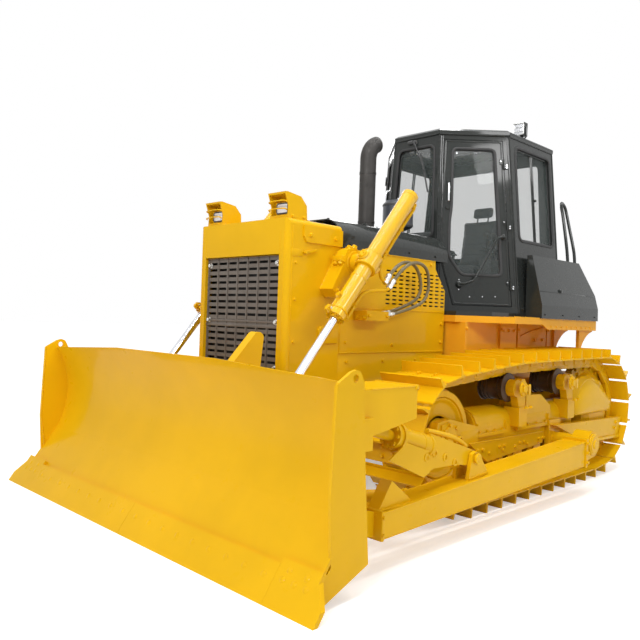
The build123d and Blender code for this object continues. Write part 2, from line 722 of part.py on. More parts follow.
def build_engine_bay():
    node("radiator_guard", radiator_guard())
    node("grille", grille())
    node("radiator", radiator())
    node("engine_hood", engine_hood())
    panel = side_panel()
    node("side_panels", panel, other_side(panel))
    lamp = headlamp()
    node("headlamps", lamp, other_side(lamp))
    node("exhaust_pipe", exhaust_pipe())
    node("air_precleaner", air_precleaner())


# ================================ fenders, side boxes, tank ================================

def fender():
    """Deck over the track with its outer skirt, the recessed wall under it, posts and the rear arch."""
    low, top = FENDER_Z
    x0 = RAIL_X[1] - 10
    wall, foot = FENDER_WALL_X, FENDER_WALL_Z
    deck = prism_z([(x0, PANEL_REAR), (GUARD_HALF, PANEL_REAR), (600, 50), (FENDER_X, 389),
                    (FENDER_X, FENDER_REAR), (x0, FENDER_REAR)], low, top)
    step_front, step_rear, drop = FENDER_SKIRT
    skirt = [(step_front, low + 1), (step_rear, low - drop), (FENDER_REAR, low - drop), (FENDER_REAR, low + 1)]
    deck += prism_x(skirt, FENDER_X - 12, FENDER_X)
    deck += block(x0, x0 + 10, PANEL_REAR + 30, FENDER_REAR - 60, MAIN_Z[1], low + 1)
    arch_front, arch_rear = FENDER_REAR - FENDER_ARCH, FENDER_REAR - 16
    deck += block(wall - 10, wall, FENDER_POSTS[0], arch_front, foot, low + 1)
    for y in FENDER_POSTS:
        deck += block(x0 + 9, wall + 20, y, y + FENDER_POST, foot, low + 1)
    deck += block(wall - 1, wall + 12, *FENDER_PANEL, foot, low + 1)
    plate = [(FENDER_PLATE[0][0], foot), *FENDER_PLATE, (FENDER_PLATE[-1][0], foot)]
    deck += prism_x(plate, wall - 1, wall + 14)
    arch = [(arch_front, foot + 150), (arch_front, low + 1), (arch_rear, low + 1), (arch_rear, low - 50),
            (arch_rear - 145, low - 110, arch_front + 30, foot + 150)]
    for a, b in ((wall - 10, wall + 20), (FENDER_X - 60, FENDER_X - 30)):
        deck += prism_x(arch, a, b)
    return deck


def side_box():
    """Closed box beside the cab, its outer wall leaning in towards the top and its tail sloping down."""
    x_in, x_top, x_low = BOX_X
    y0, y1, y2 = BOX_Y
    z0, z1, z2 = BOX_Z
    body = prism_x([(y0, z0), (y2 + 10, z0), (y2, z1), (y1, z2), (y0, z2)], x_in, x_low)
    lean = prism_y([(x_low, z0 + 115), (x_low + 50, z0 + 115), (x_low + 50, z2 + 5), (x_top, z2 + 5),
                    (x_top, z2)], y0 - 5, y2 + 20)
    return body - lean


def fuel_tank():
    """Rear tank between the side boxes, with rounded upper edges."""
    half = BOX_X[0] - 15
    y0, y1 = CAB_REAR_Y + 40, FENDER_REAR - 20
    tank = prism_x([(y0, FENDER_Z[1]), (y1, FENDER_Z[1]), (y1, 1760), (y1 - 27, 1823, y1 - 90, 1850),
                    (y0, 1850)], -half, half)
    return tank + rod((300, y0 + 190, 1850), (300, y0 + 190, 1885), 55)


def build_fenders():
    node_pair("fender", fender())
    node_pair("side_box", side_box())
    node("fuel_tank", fuel_tank())


# ================================ cab ================================

CAB_WALL_SLOPE = (CAB_PILLAR_Y - CAB_FRONT_Y[0]) / (CAB_SIDE_X[0] - CAB_FRONT_HALF[0])


def cab_plan(z, inset=0.0):
    """The hexagonal plan's six corners at height z, moved in by inset."""
    share = (z - CAB_Z[0]) / (CAB_Z[1] - CAB_Z[0])
    front_half = CAB_FRONT_HALF[0] + share * (CAB_FRONT_HALF[1] - CAB_FRONT_HALF[0])
    side = CAB_SIDE_X[0] + share * (CAB_SIDE_X[1] - CAB_SIDE_X[0])
    front = CAB_FRONT_Y[0] + share * (CAB_FRONT_Y[1] - CAB_FRONT_Y[0])
    pillar = front + (side - front_half) * CAB_WALL_SLOPE
    ring = [(front_half, front), (side, pillar), (side, CAB_REAR_Y), (-side, CAB_REAR_Y), (-side, pillar),
            (-front_half, front)]
    if not inset:
        return ring
    moved = []
    for i, p in enumerate(ring):
        a, b = ring[i - 1], ring[(i + 1) % len(ring)]
        moved.append(corner_inside(a, p, b, inset))
    return moved


def corner_inside(a, p, b, inset):
    """The corner p of a counter-clockwise outline, moved in by inset from both its sides."""
    ux, uy = p[0] - a[0], p[1] - a[1]
    vx, vy = b[0] - p[0], b[1] - p[1]
    lu, lv = hypot(ux, uy), hypot(vx, vy)
    n1 = (-uy / lu, ux / lu)
    n2 = (-vy / lv, vx / lv)
    scale = inset / (1 + n1[0] * n2[0] + n1[1] * n2[1])
    return (p[0] + (n1[0] + n2[0]) * scale, p[1] + (n1[1] + n2[1]) * scale)


def cab_block(z0, z1, inset=0.0):
    rings = []
    for z in (z0, z1):
        rings.append(Plane.XY.offset(z) * make_face(Polyline(*cab_plan(z, inset), close=True)))
    return loft(rings, ruled=True)


def wall_plane(i):
    """The outer plane of wall i, from corner i to corner i + 1: x along the wall, y up it, z outward."""
    low, top = cab_plan(CAB_Z[0]), cab_plan(CAB_Z[1])
    a = Vector(low[i][0], low[i][1], CAB_Z[0])
    b = Vector(low[(i + 1) % 6][0], low[(i + 1) % 6][1], CAB_Z[0])
    c = Vector(top[i][0], top[i][1], CAB_Z[1])
    along_wall = (b - a).normalized()
    outward = along_wall.cross(c - a).normalized()
    return Plane(origin=a, x_dir=along_wall, z_dir=outward)


def wall_piece(i, points, outer, inner, corner=0.0):
    """A panel of wall i between two depths, both counted outward from its face, with rounded corners."""
    face = profile(points)
    if corner:
        face = fillet(face.vertices(), corner)
    return extrude(wall_plane(i).offset(inner) * face, amount=outer - inner)


WALL_0 = wall_plane(0)
PILLAR_LOW = WALL_0.to_local_coords(Vector(*cab_plan(CAB_Z[0])[1], CAB_Z[0]))
PILLAR_TOP = WALL_0.to_local_coords(Vector(*cab_plan(CAB_Z[1])[1], CAB_Z[1]))
DOOR_V = (60.0, PILLAR_TOP.Y - 55.0)       # bottom and top edge of a door, up its wall
DOOR_POST = 62.0                           # width of the pillar behind the door
HINGE_OUT = 12.0                           # hinge line in front of the wall's face
HINGE_V = (240.0, 760.0, 1290.0)
HINGE_STRAP = 34.0
KNUCKLE = 42.0
KNUCKLE_GAP = 0.8


def pillar_u(v):
    """Where the pillar's corner lies along wall 0 at height v up the wall."""
    return PILLAR_LOW.X + (PILLAR_TOP.X - PILLAR_LOW.X) * v / PILLAR_TOP.Y


def door_outline(grow=0.0):
    """Door in the plane of wall 0: u from the front corner to the pillar, v up from the floor."""
    low, top = DOOR_V
    g = grow
    rear = DOOR_POST - g
    return [(150 - g, low - g), (pillar_u(low) - rear, low - g), (pillar_u(top) - rear, top + g),
            (42 - g, top + g), (34 - g, 560), (40 - g, 430)]


def hinge_u(v):
    return pillar_u(v) - DOOR_POST + DOOR_GAP / 2


def hinge_point(v):
    return WALL_0.from_local_coords(Vector(hinge_u(v), v, HINGE_OUT))


def hinge_knuckle(v, below, above, side):
    """A knuckle on the hinge line and its strap on the wall, towards the door (-1) or the pillar (1)."""
    low, top = v + below, v + above
    a, b = hinge_point(low), hinge_point(top)
    reach = side * HINGE_STRAP
    strap = wall_piece(0, [(hinge_u(low), low), (hinge_u(low) + reach, low), (hinge_u(top) + reach, top),
                           (hinge_u(top), top)], HINGE_OUT - 1, 0 if side < 0 else -1)
    return rod((a.X, a.Y, a.Z), (b.X, b.Y, b.Z), HINGE_OUT - 1) + strap


def window(points, inset):
    """An outline moved in by inset all round."""
    n = len(points)
    return [corner_inside(points[i - 1], points[i], points[(i + 1) % n], inset) for i in range(n)]


WINDOW_CORNER = 60.0
WINDOW_V = (640.0, 1470.0)     # bottom and top edge of a side window, up its wall
SIDE_WINDOW_REAR = CAB_REAR_Y - CAB_PILLAR_Y - 60.0
SIDE_WINDOW = [(70, WINDOW_V[0]), (SIDE_WINDOW_REAR, WINDOW_V[0]), (SIDE_WINDOW_REAR, WINDOW_V[1]),
               (70, WINDOW_V[1])]


def rear_window():
    wide = 2 * CAB_SIDE_X[0]
    return [(190, 560), (wide - 190, 560), (wide - 250, 1450), (250, 1450)]


def front_window():
    wide = 2 * CAB_FRONT_HALF[0]
    return [(75, 640), (wide - 75, 640), (wide - 105, 1450), (105, 1450)]


def cab_frame():
    """Posts, sills and lower walls, with the door openings and the windows cut through."""
    z0, z1 = CAB_Z
    shell = cab_block(z0, z1) - cab_block(z0 - 0.01, z1 + 0.01, CAB_WALL)
    opening = wall_piece(0, door_outline(DOOR_GAP), 5, -CAB_WALL * 2)
    shell -= [opening, other_side(opening)]
    for i, outline in ((1, SIDE_WINDOW), (3, SIDE_WINDOW), (2, rear_window()), (5, front_window())):
        shell -= wall_piece(i, outline, 5, -CAB_WALL * 2, WINDOW_CORNER)
    for v in HINGE_V:
        knuckle = hinge_knuckle(v, -KNUCKLE, -KNUCKLE_GAP / 2, 1)
        shell += [knuckle, other_side(knuckle)]
    return shell


def cab_glass():
    """The four fixed panes, set in the middle of their walls."""
    panes = []
    for i, outline in ((1, SIDE_WINDOW), (3, SIDE_WINDOW), (2, rear_window()), (5, front_window())):
        panes.append(wall_piece(i, window(outline, 0.2), -24, -24 - GLASS, WINDOW_CORNER))
    return panes


def cab_roof():
    """Roof cap that overhangs the walls a little, with its corners cut."""
    z = CAB_Z[1]
    over = -10.0
    low = Plane.XY.offset(z) * make_face(Polyline(*cab_plan(z, over), close=True))
    mid = Plane.XY.offset(z + 25) * make_face(Polyline(*cab_plan(z, over), close=True))
    top = Plane.XY.offset(HEIGHT) * make_face(Polyline(*cab_plan(z, 22), close=True))
    return loft([low, mid], ruled=True) + loft([mid, top], ruled=True)


DOOR_WINDOW_CORNER = 45.0


def door_window():
    low, top = 320, DOOR_V[1] - 75
    rear = DOOR_POST + 70
    return [(215, low), (pillar_u(low) - rear, low), (pillar_u(top) - rear, top), (118, top), (118, 900),
            (104, 780), (104, 480)]


def door():
    leaf = wall_piece(0, door_outline(), 0, -DOOR_THICK)
    leaf -= wall_piece(0, door_window(), 1, -DOOR_THICK - 1, DOOR_WINDOW_CORNER)
    for v in HINGE_V:
        leaf += hinge_knuckle(v, KNUCKLE_GAP / 2, KNUCKLE, -1)
    return leaf


def door_glass():
    return wall_piece(0, window(door_window(), 0.2), -18, -18 - GLASS, DOOR_WINDOW_CORNER)


def cab_floor():
    """Black floor pan that the cab stands on."""
    side = CAB_SIDE_X[0] + 6
    ring = [(GUARD_HALF, PANEL_REAR + 12), (600, 62), (side, 262), (side, CAB_REAR_Y + 20)]
    outline = ring + [(-x, y) for x, y in reversed(ring)]
    return prism_z(outline, FENDER_Z[1], CAB_Z[0])


def operator_seat():
    """Seat on its pedestal."""
    y0 = 860.0
    seat = block(-180, 180, y0 + 60, y0 + 420, CAB_Z[0], CAB_Z[0] + 320)
    seat += prism_x([(y0, 1760), (y0, 1850), (y0 + 20, 1885), (y0 + 400, 1870), (y0 + 470, 2420),
                     (y0 + 560, 2420), (y0 + 500, 1760)], -240, 240)
    return seat


def control_console():
    """Dash behind the front window."""
    return prism_x([(310, CAB_Z[0]), (310, 2120), (360, 2150), (470, 2040), (440, CAB_Z[0])], -170, 170)


def work_lamp():
    """Lamp box on the roof's rear corner."""
    x, y = 560.0, 1060.0
    lamp = block(x - 20, x + 20, y - 20, y + 20, HEIGHT, HEIGHT + 40)
    return lamp + block(x - 55, x + 55, y - 30, y + 30, HEIGHT + 40, HEIGHT + 160)


def build_cab():
    node("cab_floor", cab_floor())
    node("cab_frame", cab_frame())
    node("cab_glass", *cab_glass())
    node("cab_roof", cab_roof())
    leaf = door()
    node_pair("door", leaf)
    node_pair("door_glass", door_glass())
    node("operator_seat", operator_seat())
    node("control_console", control_console())
    lamp = work_lamp()
    node("work_lamps", lamp, other_side(lamp))


# ================================ blade and its push frame ================================

EDGE_RUN = hypot(EDGE_TOP[0] - FRONT, EDGE_TOP[1])
EDGE_U = ((EDGE_TOP[0] - FRONT) / EDGE_RUN, EDGE_TOP[1] / EDGE_RUN)      # up the cutting edge's face
EDGE_N = (EDGE_U[1], -EDGE_U[0])                                        # into the metal, to the rear


def edge_point(up, into):
    """A (y, z) point: up along the cutting edge's front face from its tip, and into the metal."""
    return (FRONT + EDGE_U[0] * up + EDGE_N[0] * into, EDGE_U[1] * up + EDGE_N[1] * into)


def mold_face(into):
    """The moldboard's face at a depth: top, belly, crease and foot. Its front face has depth 0."""
    depth = EDGE_THICK + into
    up = (CREASE_Z + EDGE_U[0] * EDGE_THICK) / EDGE_U[1]
    crease = edge_point(up, depth)
    foot = edge_point(MOLD_FOOT, depth)
    top = (edge_point(up, EDGE_THICK)[0] - MOLD_TOP_LEAN + into, MOLD_TOP)
    belly = ((crease[0] + top[0]) / 2 + MOLD_HOLLOW, (crease[1] + top[1]) / 2)
    return top, belly, crease, foot


def mold_plate(front, back, x0, x1):
    """Everything between two depths of the moldboard, from x0 to x1."""
    top_f, belly_f, crease_f, foot_f = mold_face(front)
    top_b, belly_b, crease_b, foot_b = mold_face(back)
    return prism_x([top_b, (*belly_b, *crease_b), foot_b, foot_f, crease_f, (*belly_f, *top_f)], x0, x1)


def behind_blade(part):
    """The part with all that would reach into the moldboard cut away, so that it seats on its back."""
    return part - mold_plate(-700, MOLD_THICK, -MOLD_HALF - 1, MOLD_HALF + 1)


def end_plate_outline():
    front, rear = MOLD_END_Y
    return [(front, MOLD_SIDE_TOP), (front - 22, 510), (front - 4, 190), edge_point(150, EDGE_THICK),
            edge_point(MOLD_FOOT, EDGE_THICK), (front - 35, 30), (rear + 74, 151), (rear + 32, 594),
            (rear, MOLD_SIDE_TOP)]


def moldboard():
    """Curved plate between two end plates; its top edge falls towards the ends, where lifting lugs stand."""
    t = MOLD_THICK
    plate = mold_plate(0, t, -MOLD_HALF, MOLD_HALF)
    for side in (-1, 1):
        drop = [(side * MOLD_CROWN_HALF, MOLD_TOP), (side * (MOLD_HALF + 1), MOLD_SIDE_TOP),
                (side * (MOLD_HALF + 1), MOLD_TOP + 9), (side * MOLD_CROWN_HALF, MOLD_TOP + 9)]
        plate -= prism_y(drop, FRONT, BEAM_BACK)
    lug_y, lug_z = LUG_BORE
    lug = [(lug_y - 40, MOLD_SIDE_TOP - 60), (lug_y - 40, lug_z), (lug_y - 28, lug_z + 28, lug_y, lug_z + 40),
           (lug_y + 28, lug_z + 28, lug_y + 60, MOLD_SIDE_TOP), (lug_y + 60, MOLD_SIDE_TOP - 60)]
    for side in (-1, 1):
        a, b = sorted((side * MOLD_HALF, side * (MOLD_HALF - t)))
        plate += prism_x(end_plate_outline(), a, b)
        plate += prism_x(lug, a, b)
        plate -= rod((a - 1, lug_y, lug_z), (b + 1, lug_y, lug_z), LUG_BORE_R)
    return plate


def cutting_edge():
    """Two straight edges with a seam between them, bolted on the moldboard's foot."""
    section = [edge_point(0, 0), edge_point(EDGE_RUN, 0), edge_point(EDGE_RUN, EDGE_THICK),
               edge_point(EDGE_THICK * 0.714, EDGE_THICK)]
    return prism_x(section, 1, EDGE_HALF - 1), prism_x(section, -EDGE_HALF + 1, -1)


def end_bit():
    """Corner bit that stands a little higher than the edge and reaches past the end plate."""
    section = [edge_point(0, 0), edge_point(EDGE_RUN + 30, 0), edge_point(EDGE_RUN + 30, EDGE_THICK),
               edge_point(EDGE_THICK * 0.714, EDGE_THICK)]
    bit = prism_x(section, EDGE_HALF, BLADE_HALF)
    corner = [(MOLD_HALF + 20, 400), (MOLD_HALF + 20, 150), (BLADE_HALF, 60), (BLADE_HALF + 5, 60),
              (BLADE_HALF + 5, 400)]
    return bit - prism_y(corner, FRONT - 50, BEAM_FRONT)


def blade_beams():
    """Welded frame on the blade's back: two cross beams, ears for the lift rods, lugs for the arms."""
    inner = MOLD_HALF - MOLD_THICK
    back = BEAM_BACK
    front = BEAM_FRONT
    upper = prism_x([(front, 700), (front, 860), (back, 860), (back, 700)], -inner, inner)
    lower = prism_x([(front - 140, 130), (front, 420), (back - 60, 420), (back - 60, 130)], -inner, inner)
    frame = upper + lower
    eye_y, eye_z = LIFT_EYE
    ear = [(front, 420), (front, 700), (eye_y - 20, 700), (eye_y + 43, eye_z + 43, eye_y + 60, eye_z),
           (eye_y + 43, eye_z - 43, eye_y, eye_z - 60), (back - 60, 420)]
    for centre in (-LIFT_X, LIFT_X):
        for side in (-1, 1):
            inner = centre + side * (EYE_HALF + RUN)
            outer = inner + side * EAR_THICK
            frame += prism_x(ear, *sorted((inner, outer)))
            frame += rod((outer, eye_y, eye_z), (outer + side * 14, eye_y, eye_z), 38)
    lug_y, lug_z = ARM_NOSE
    lug = [(back - 60, 200), (back - 60, 400), (lug_y, lug_z + 80),
           (lug_y + 57, lug_z + 57, lug_y + 80, lug_z), (lug_y + 57, lug_z - 57, lug_y, lug_z - 80)]
    for centre in (-ARM_MID, ARM_MID):
        for side in (-1, 1):
            near, far = sorted((centre + side * (NOSE_HALF + FIT), centre + side * (NOSE_HALF + 30)))
            frame += prism_x(lug, near, far)
        frame += rod((centre - NOSE_HALF - 45, lug_y, lug_z), (centre + NOSE_HALF + 45, lug_y, lug_z), 35)
    for a, b in ((BRACKET_X[0], BRACKET_X[0] + 16), (BRACKET_X[1] - 16, BRACKET_X[1])):
        plate = [(front, 700), (front, 1000), (back, 1000), (BRACKET_BACK, 1000), (BRACKET_BACK, 825),
                 (back, 760), (back, 700)]
        frame += prism_x(plate, a, b) + prism_x(plate, -b, -a)
    roof = prism_x([(front, 984), (front, 1000), (BRACKET_BACK, 1000), (BRACKET_BACK, 984)], *BRACKET_X)
    frame += roof + other_side(roof)
    post = [(front, 700), (front, 1000), (back - 113, 1040), (back + 71, 1236),
            (back + 105, 1246, back + 139, 1212), (back + 119, 1039), (back + 60, 700)]
    frame += prism_x(post, *POST_X)
    return behind_blade(frame)


def push_arm():
    """Box-section arm with a nose pinned to the blade and a bored housing on the track frame's trunnion."""
    x0, x1 = ARM_X
    pivot_y, pivot_z = ARM_PIVOT
    nose_y, nose_z = ARM_NOSE
    side = [(ARM_FRONT, 176), (ARM_FRONT, 318), (653, 440), (653, 254)]
    arm = prism_x(side, x0, x1)
    arm += prism_x([(653, 240), (653, 462), (683, 462), (683, 240)], x0 - 10, x1 + 10)
    arm += prism_x([(683, 270), (683, 440), (pivot_y, pivot_z + HOUSING_R - 25),
                    (pivot_y, pivot_z - HOUSING_R + 5)], x0 + 20, x1 - 20)
    arm += rod((x0 + 20, pivot_y, pivot_z), (x1 - 20, pivot_y, pivot_z), HOUSING_R)
    arm -= rod((x0 - 1, pivot_y, pivot_z), (x1 + 1, pivot_y, pivot_z), TRUNNION_R + 0.05)
    tongue = [(ARM_FRONT, 180), (nose_y, nose_z - 76), (nose_y - 54, nose_z - 54, nose_y - 76, nose_z),
              (nose_y - 54, nose_z + 54, nose_y, nose_z + 76), (ARM_FRONT, 314)]
    arm += prism_x(tongue, ARM_MID - NOSE_HALF, ARM_MID + NOSE_HALF)
    arm -= rod((ARM_MID - 70, nose_y, nose_z), (ARM_MID + 70, nose_y, nose_z), 35 + FIT)
    gusset = prism_x([(ARM_FRONT - 16, 300), (ARM_FRONT + 108, 469), (ARM_FRONT + 310, 320)], ARM_MID - 20,
                     ARM_MID + 60)
    arm += gusset
    bracket_y, bracket_z = BRACE_PIN
    bracket = [(bracket_y - 80, 350), (bracket_y - 40, bracket_z + 30), (bracket_y, bracket_z + 45),
               (bracket_y + 40, bracket_z + 30), (bracket_y + 150, 380)]
    for a, b in ((ARM_MID - 62, ARM_MID - 36), (ARM_MID + 36, ARM_MID + 62)):
        arm += prism_x(bracket, a, b)
    return arm + rod((ARM_MID - 75, bracket_y, bracket_z), (ARM_MID + 75, bracket_y, bracket_z), 24)


def brace_point(share, lift=0.0):
    """A (y, z) point on the line from the arm's brace pin to the blade's upper bracket."""
    (y0, z0), (y1, z1) = BRACE_PIN, BRACE_TOP
    dy, dz = y1 - y0, z1 - z0
    length = hypot(dy, dz)
    return (y0 + dy * share - dz / length * lift, z0 + dz * share + dy / length * lift)


def brace_bar(x, a, b, radius):
    (ya, za), (yb, zb) = brace_point(a), brace_point(b)
    return rod((x, ya, za), (x, yb, zb), radius)


YOKE_HOLES = [(0.154, 54.0), (0.249, 40.0), (0.346, 33.0)]     # (share, lift) of the brace line
YOKE_HOLE_R = 13.0


def tilt_cylinder():
    """Left upper strut: pierced yoke on the arm's pin, flanged barrel with its guard, rod to the blade."""
    x = ARM_MID
    pin_r = 24 + FIT
    yoke = [brace_point(0.16, -58), brace_point(0.406, -72), brace_point(0.43, 150),
            brace_point(0.136, 66), brace_point(0, 50), (*brace_point(-0.042, 0), *brace_point(0, -50))]
    strut = prism_x(yoke, x - 32, x + 32)
    for share, lift in YOKE_HOLES:
        y, z = brace_point(share, lift)
        strut -= rod((x - 33, y, z), (x + 33, y, z), YOKE_HOLE_R)
    strut += brace_bar(x, 0.38, 0.67, 62)
    strut += brace_bar(x, 0.64, 0.66, 84)
    strut += brace_bar(x, 0.66, 0.69, 74)
    strut += brace_bar(x, 0.66, 0.97, 32)
    guard = [brace_point(0.45, 30), brace_point(0.634, 20), brace_point(0.738, 137), brace_point(0.448, 185),
             brace_point(0.41, 150), brace_point(0.41, 90), brace_point(0.45, 80)]
    tab = [brace_point(0.39, 90), brace_point(0.44, 90), brace_point(0.44, 150), brace_point(0.39, 130)]
    strut += prism_x(guard, x + 64, x + 74) + prism_x(tab, x + 31, x + 74)
    eye_y, eye_z = BRACE_TOP
    strut += rod((x - 34, eye_y, eye_z), (x + 34, eye_y, eye_z), 48)
    for y, z in (BRACE_PIN, BRACE_TOP):
        strut -= rod((x - 40, y, z), (x + 40, y, z), pin_r)
    return strut


def pitch_brace():
    """Right upper strut: a plain screw brace of the same length."""
    x = -ARM_MID
    strut = brace_bar(x, 0.02, 0.30, 34) + brace_bar(x, 0.26, 0.76, 52) + brace_bar(x, 0.74, 0.98, 34)
    for y, z in (BRACE_PIN, BRACE_TOP):
        strut += rod((x - 34, y, z), (x + 34, y, z), 48)
    for y, z in (BRACE_PIN, BRACE_TOP):
        strut -= rod((x - 40, y, z), (x + 40, y, z), 24 + FIT)
    return strut


def brace_ears():
    """Ears under the upper brackets that hold the struts' front pins."""
    eye_y, eye_z = BRACE_TOP
    ears = []
    for centre in (-ARM_MID, ARM_MID):
        for a, b in ((centre - 60, centre - 38), (centre + 38, centre + 60)):
            ears.append(prism_x([(BEAM_FRONT, 700), (BEAM_FRONT, 990), (eye_y + 50, 990),
                                 (eye_y + 50, eye_z - 50), (eye_y - 40, 720), (BEAM_BACK - 20, 700)], a, b))
        ears.append(rod((centre - 70, eye_y, eye_z), (centre + 70, eye_y, eye_z), 24))
    return ears


def diagonal_brace():
    """Tube from the arm's inner side to the middle of the blade's lower beam."""
    seat = ARM_FRONT + 526
    beam = BEAM_BACK - 60
    tube = rod((ARM_X[0], seat, 290), (620, beam, 270), 42)
    tube -= block(ARM_X[0], ARM_X[0] + 80, seat - 200, seat + 200, 200, 400)
    return tube - block(500, 700, beam - 140, beam, 200, 400)


def build_blade():
    node("moldboard", moldboard())
    node("cutting_edge", *cutting_edge())
    bit = end_bit()
    node("end_bits", bit, other_side(bit))
    beams = blade_beams()
    for piece in brace_ears():
        beams += behind_blade(piece)
    node("blade_beams", beams)
    node_pair("push_arm", push_arm())
    node("tilt_cylinder", tilt_cylinder())
    node("pitch_brace", pitch_brace())
    brace = diagonal_brace()
    node("diagonal_braces", brace, other_side(brace))


# ================================ lift cylinders ================================

LIFT_LENGTH = hypot(LIFT_EYE[0] - LIFT_TRUNNION[0], LIFT_EYE[1] - LIFT_TRUNNION[1])
LIFT_D = ((LIFT_EYE[0] - LIFT_TRUNNION[0]) / LIFT_LENGTH, (LIFT_EYE[1] - LIFT_TRUNNION[1]) / LIFT_LENGTH)


def lift_point(s, out=0.0):
    """A point at s along the cylinder from its trunnion towards the blade, and out to the front and up."""
    return (LIFT_X, LIFT_TRUNNION[0] + LIFT_D[0] * s + LIFT_D[1] * out,
            LIFT_TRUNNION[1] + LIFT_D[1] * s - LIFT_D[0] * out)


def lift_bar(a, b, radius):
    return rod(lift_point(a), lift_point(b), radius)


# Distances along the cylinder from its trunnion and out from its axis: its two ports, and their pipes' ends.
GLAND_PORT = (425.0, -122.0)
CAP_PORT = (-660.0, -100.0)
GLAND_PIPE_END = (-48.0, -276.0)
CAP_PIPE_END = (-45.0, -217.0)
PORT_R = 24.0


def lift_barrel():
    """Barrel with gland, closed end and the yoke whose shaft turns in the support's bearing."""
    barrel = lift_bar(-LIFT_ABOVE, LIFT_BELOW, LIFT_BARREL_R)
    barrel += lift_bar(LIFT_BELOW - 45, LIFT_BELOW, LIFT_BARREL_R + 13)
    barrel += lift_bar(-LIFT_ABOVE - 8, -LIFT_ABOVE + 22, LIFT_BARREL_R + 4)
    barrel += lift_bar(-55, 55, YOKE_R)
    barrel += rod(lift_point(0, -YOKE_R - 34), lift_point(0, YOKE_R + 34), 46)
    for s, out in (GLAND_PORT, CAP_PORT):
        barrel += rod(lift_point(s, -60), lift_point(s, out), PORT_R)
    lug = [(335, 60), (340, 98), (372, 98), (385, 80), (440, 80), (465, 116), (505, 116), (512, 88), (480, 60)]
    barrel += prism_x([lift_point(s, out)[1:] for s, out in lug], LIFT_X - 9, LIFT_X + 9)
    y, z = LIFT_TRUNNION
    barrel += rod((BEARING_X[1] + RUN, y, z), (LIFT_X - 40, y, z), 72)
    barrel += rod((BEARING_X[0] - 4, y, z), (LIFT_X - 40, y, z), YOKE_SHAFT_R)
    barrel -= lift_bar(-LIFT_ABOVE + 16, LIFT_BELOW - 40, LIFT_BORE_R)
    return barrel - lift_bar(LIFT_BELOW - 41, LIFT_BELOW + 1, LIFT_ROD_R + 0.1)


def lift_pipes():
    """Oil pipes from the cylinder's two ports to the fittings where the hoses start."""
    gland_run = [GLAND_PORT, (GLAND_PORT[0], -160), (190, -160), (-5, GLAND_PIPE_END[1]), GLAND_PIPE_END]
    cap_run = [CAP_PORT, (CAP_PORT[0], -150), (30, -150), (30, CAP_PIPE_END[1]), CAP_PIPE_END]
    pipes = []
    for run in (gland_run, cap_run):
        pipes.append(tube([lift_point(s, out) for s, out in run], PIPE_BEND, PIPE_R))
    return pipes


def lift_hoses():
    """Two hoses that leave the pipes in line and loop to the manifold on the side panel."""
    front, rear, low, top = HOSE_BLOCK
    gland_s, gland_out = GLAND_PIPE_END
    cap_s, cap_out = CAP_PIPE_END
    gland_hose = [lift_point(gland_s, gland_out), lift_point(gland_s - 235, gland_out), (640, -394, 1780),
                  (600, -314, 1545), (588, -470, 1440), (584, rear - 20, low + 36)]
    cap_hose = [lift_point(cap_s, cap_out), lift_point(cap_s - 185, cap_out), (602, -484, 1778),
                (564, -349, 1577), (550, -478, 1462), (540, rear - 20, low + 44)]
    manifold = block(GUARD_HALF, HOSE_BLOCK_X, *HOSE_BLOCK)
    return tube(gland_hose, 130, HOSE_R) - manifold, tube(cap_hose, 110, HOSE_R) - manifold


def lift_rod():
    """Piston, bright rod and its eye."""
    s = LIFT_LENGTH
    bar = lift_bar(PISTON_AT, s - 20, LIFT_ROD_R)
    bar += lift_bar(PISTON_AT - 18, PISTON_AT + 18, LIFT_BORE_R - 0.1)
    x, y, z = lift_point(s)
    bar += rod((x - EYE_HALF, y, z), (x + EYE_HALF, y, z), 50)
    return bar - rod((x - EYE_HALF - 1, y, z), (x + EYE_HALF + 1, y, z), 25)


def cylinder_support():
    """Bracket on the guard's side with the bearing that the yoke's shaft turns in."""
    y, z = LIFT_TRUNNION
    arm = [(y - 218, z - 186), (y - 171, z - 240), (y + 83, z - 127), (y + 95, z),
           (y + 67, z + 67, y, z + 95), (y - 60, z + 80)]
    bracket = prism_x(arm, GUARD_HALF, BEARING_X[1])
    cap = [(y - 122, z + 6), (y - 84, z + 84), (y - 20, z + 106), (y + 8, z + 94), (y - 30, z - 30),
           (y - 70, z - 40)]
    bracket += prism_x(cap, BEARING_X[0] - 4, BEARING_X[1])
    return bracket - rod((BEARING_X[0] - 5, y, z), (BEARING_X[1] + 1, y, z), YOKE_SHAFT_R + 0.05)


def build_lift():
    node_pair("lift_barrel", lift_barrel())
    for name, pieces in (("lift_pipes", lift_pipes()), ("lift_hoses", lift_hoses())):
        node(name + "_left", *pieces)
        node(name + "_right", *[other_side(piece) for piece in pieces])
    node_pair("lift_rod", lift_rod())
    bracket = cylinder_support()
    node("cylinder_supports", bracket, other_side(bracket))


def export_all():
    os.makedirs("parts", exist_ok=True)
    for name, shape in nodes.items():
        export_step(shape, f"parts/{name}.step")


build_tracks()
build_driveline()
build_engine_bay()
build_fenders()
build_cab()
build_blade()
build_lift()
low_hinge, high_hinge = hinge_point(HINGE_V[0]), hinge_point(HINGE_V[2])
print("loop", round(LOOP_LENGTH, 1), "pitch", round(PITCH, 1))
print("hinge", [round(c, 3) for c in low_hinge], [round(c, 3) for c in high_hinge])
print("lift length", round(LIFT_LENGTH, 1))
export_all()
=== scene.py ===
import json
import math
import random

import bmesh
import bpy
from mathutils import Matrix, Vector

